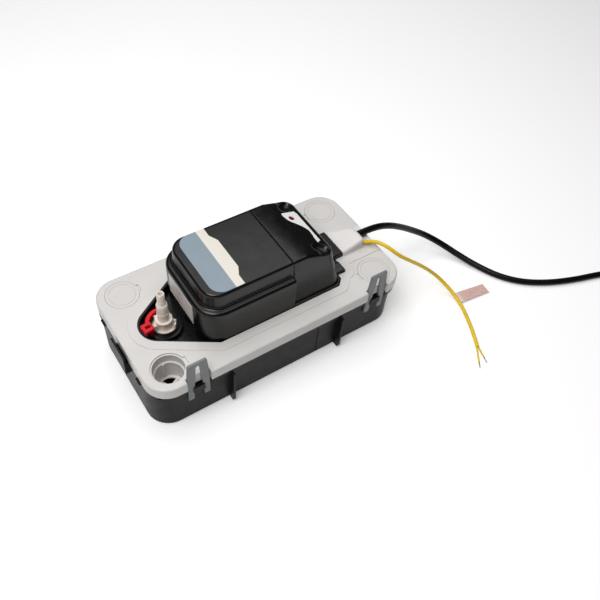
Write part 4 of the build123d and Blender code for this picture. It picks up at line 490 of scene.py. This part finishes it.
# cable gland: a flat base and a hump that narrows and rises from the entry to the cables
GLAND_X = (98.6, 125.1)
GLAND_START = (-17.4, 17.4, 72.5)    # the hump's two sides and its top where it meets the entry
GLAND_END = (-17.5, 2.5, 79.2)       # and at the cables
GLAND_BASE = ((98.6, -18.0), (137.6, 9.0))
GLAND_BASE_THICK = 1.6
GLAND_BASE_ROUND = 2.0
GLAND_ROUND = 3.0       # the hump's upper corners
GLAND_FOOT_ROUND = 0.2
GLAND_END_INSET = 1.2   # the last section is this much smaller
GLAND_STEPS = 14


def add_gland():
    mesh = bmesh.new()
    loops = []
    for step in range(GLAND_STEPS + 1):
        share = step / GLAND_STEPS
        eased = share * share * (3 - 2 * share)
        left, right = (a + (b - a) * share for a, b in zip(GLAND_START[:2], GLAND_END[:2]))
        top = GLAND_START[2] + (GLAND_END[2] - GLAND_START[2]) * eased
        inset = GLAND_END_INSET if step == GLAND_STEPS else 0
        radii = [GLAND_FOOT_ROUND, GLAND_ROUND, GLAND_ROUND, GLAND_FOOT_ROUND]
        section = rounded_box((left + inset, LID_FACE), (right - inset, top - inset), radii)
        x = GLAND_X[0] + (GLAND_X[1] - GLAND_X[0]) * share
        loops.append([(x, y, z) for y, z in section])
    skin(mesh, loops)
    plate = rounded_box(*GLAND_BASE, [GLAND_BASE_ROUND] * 4)
    skin(mesh, [[(x, y, z) for x, y in plate] for z in (LID_FACE, LID_FACE + GLAND_BASE_THICK)])
    add_piece("gland_hump", mesh, MATERIALS["gland_white"], "cable_gland", "base",
              edge=0.35, sharp=50)


# finger grips: the rear cover's copy with two long scoops cut from its corners
GRIP_RADIUS = 6.5
GRIP_ENDS = [(54.5, 29.5), (59.0, 33.5)]    # along and off the middle, for the two ends of a scoop
GRIP_RISE = 2.2         # a scoop's middle line above the slope
GRIP_STEPS = 32         # faces round a scoop
SLOPE_START_X = 35.0    # where the cover's slanted back begins
SLOPE_FALL = 10.5 / 32.0


def capsule(start, end, radius):
    """Loops round a line from start to end, with a half ball at each end."""
    line = (end - start).normalized()
    side = line.orthogonal().normalized()
    other = line.cross(side)
    loops = []
    for centre, tilts in ((start, range(-85, 1, 17)), (end, range(0, 86, 17))):
        for tilt in tilts:
            middle = centre + line * radius * sin(radians(tilt))
            reach = radius * cos(radians(tilt))
            turns = [2 * pi * step / GRIP_STEPS for step in range(GRIP_STEPS)]
            loops.append([middle + reach * (side * cos(turn) + other * sin(turn)) for turn in turns])
    return loops


def add_rear_cover():
    cutter_mesh = bmesh.new()
    for side in (-1, 1):
        start, end = (
            Vector((x, side * y, COVER_TOP - (x - SLOPE_START_X) * SLOPE_FALL + GRIP_RISE))
            for x, y in GRIP_ENDS
        )
        skin(cutter_mesh, capsule(start, end, GRIP_RADIUS))
    bmesh.ops.recalc_face_normals(cutter_mesh, faces=cutter_mesh.faces)
    cutter_data = bpy.data.meshes.new("cutter")
    cutter_mesh.to_mesh(cutter_data)
    cutter = add("cutter", cutter_data)
    body = add("body", frame["nodes"]["cover_rear"].data.copy())
    cut = body.modifiers.new("cut", "BOOLEAN")
    cut.operation = "DIFFERENCE"
    cut.solver = "EXACT"
    cut.object = cutter
    bpy.context.view_layer.update()
    carved = body.evaluated_get(bpy.context.evaluated_depsgraph_get())
    mesh = bmesh.new()
    mesh.from_mesh(bpy.data.meshes.new_from_object(carved))
    bpy.data.objects.remove(body)
    bpy.data.objects.remove(cutter)
    bmesh.ops.remove_doubles(mesh, verts=mesh.verts, dist=0.00001)
    add_piece("motor_cover_rear", mesh, MATERIALS["cover_black"], "cover_rear", "base",
              edge=0, sharp=28)


add_outlet()
add_collar()
add_gland()
add_rear_cover()

# ---------------------------------------------------------------- floor
FLOOR_SIZE = 8.0        # metres
FLOOR_GLOW = 0.24       # lifts the paper to white in the picture and in reflections


def add_floor():
    floor_mesh = bpy.data.meshes.new("floor")
    half = FLOOR_SIZE / 2
    corners = [(-half, -half, 0), (half, -half, 0), (half, half, 0), (-half, half, 0)]
    floor_mesh.from_pydata(corners, [], [(0, 1, 2, 3)])
    floor = add("floor", floor_mesh)
    paper = Nodes("floor_paper")
    rays = paper.node("ShaderNodeLightPath").outputs
    bounced = paper.maths("MAXIMUM", rays["Is Glossy Ray"], rays["Is Transmission Ray"])
    seen = paper.maths("MAXIMUM", rays["Is Camera Ray"], bounced)
    paper.set(
        Base_Color=paper.blend(paper.noise(0.4), rgb(250, 250, 250), rgb(247, 247, 247)),
        Roughness=0.9,
        Emission_Color=(1, 1, 1, 1),
        Emission_Strength=paper.maths("MULTIPLY", seen, FLOOR_GLOW),
    )
    floor_mesh.materials.append(paper.material)


add_floor()

# ---------------------------------------------------------------- cables
MAINS_DIAMETER = 7.2 * MM
MAINS_ROUTE = [
    (124.3, -5, 74.6), (146, -5, 74.8), (169, -4.5, 66), (191, -4, 51.5), (210, -4, 37), (229, -8, 23.5),
    (244, -22, 14), (255.5, -44, 7.5), (266, -67, 4.2), (278, -91, 3.6), (296, -111, 3.6), (322, -127, 3.6),
    (352, -139, 3.6), (383, -148, 3.6), (418, -161, 3.6), (445.8, -176.2, 3.6),
]
COIL_CENTRE = (424.0, -214.0)
COIL_START = 60.0       # degrees round the coil where the cable comes in
COIL_END = 20.0         # and where it leaves for the plug
PLUG_ROUTE = [
    (458.2, -201.6, 18), (466.4, -224.2, 18), (466.4, -242.2, 16), (459.8, -257.8, 12.5),
    (447.2, -269.2, 9), (431.9, -273.9, 6.5),
]
ALARM_DIAMETER = 4.0 * MM
ALARM_ROUTE = [
    (124.3, -14.9, 72), (136, -19, 73), (143.5, -33, 73), (151, -46, 66.5), (165, -50, 55), (180, -53, 42),
    (194, -57.5, 29), (206, -65, 16), (213, -81, 6), (212, -99, 2.2), (205, -118, 2), (196.8, -136, 2),
    (189, -150.5, 2),
]
COIL_TURNS = [(43.6, 3.6), (36.4, 3.6), (36.4, 10.8), (43.6, 10.8), (36.4, 18.0)]   # radius and height
TURN_POINTS = 16        # points on each turn
SLIDE_POINTS = 4        # of which the last ones slide over to the next turn


def coil_points():
    """The coil's turns, clockwise from above: each one slides over to the next near its end."""
    total = len(COIL_TURNS) * TURN_POINTS + round((COIL_START - COIL_END) / 360 * TURN_POINTS)
    outward = 1 / cos(pi / TURN_POINTS)
    points = []
    for step in range(1, total):
        turn, within = divmod(step, TURN_POINTS)
        turn = min(turn, len(COIL_TURNS) - 1)
        after = min(turn + 1, len(COIL_TURNS) - 1)
        share = max(0.0, (within - TURN_POINTS + SLIDE_POINTS) / SLIDE_POINTS)
        radius = (COIL_TURNS[turn][0] * (1 - share) + COIL_TURNS[after][0] * share) * outward
        height = COIL_TURNS[turn][1] * (1 - share) + COIL_TURNS[after][1] * share
        angle = radians(COIL_START - 360 * step / TURN_POINTS)
        points.append((COIL_CENTRE[0] + radius * cos(angle), COIL_CENTRE[1] + radius * sin(angle), height))
    return points


def add_cable(name, route, diameter, material):
    """A round cable on one smooth curve whose control points are the route, in millimetres."""
    line = bpy.data.curves.new(name, "CURVE")
    line.dimensions = "3D"
    line.bevel_depth = diameter / 2
    line.bevel_resolution = 6
    line.use_fill_caps = True
    line.resolution_u = 8
    spline = line.splines.new("NURBS")
    spline.points.add(len(route) - 1)
    for point, place in zip(spline.points, route):
        point.co = (*(Vector(place) * MM), 1)
    spline.order_u = 3
    spline.use_endpoint_u = True
    line.materials.append(material)
    return add(name, line)


mains_points = MAINS_ROUTE + coil_points() + PLUG_ROUTE
mains = add_cable("mains_lead", mains_points, MAINS_DIAMETER, MATERIALS["black_cable"])
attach(mains, "base")
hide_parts("mains_cable", "mains_coil", "mains_cable_tail")

alarm = add_cable("alarm_lead", ALARM_ROUTE, ALARM_DIAMETER, MATERIALS["yellow_cable"])
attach(alarm, "base")
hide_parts("alarm_cable")
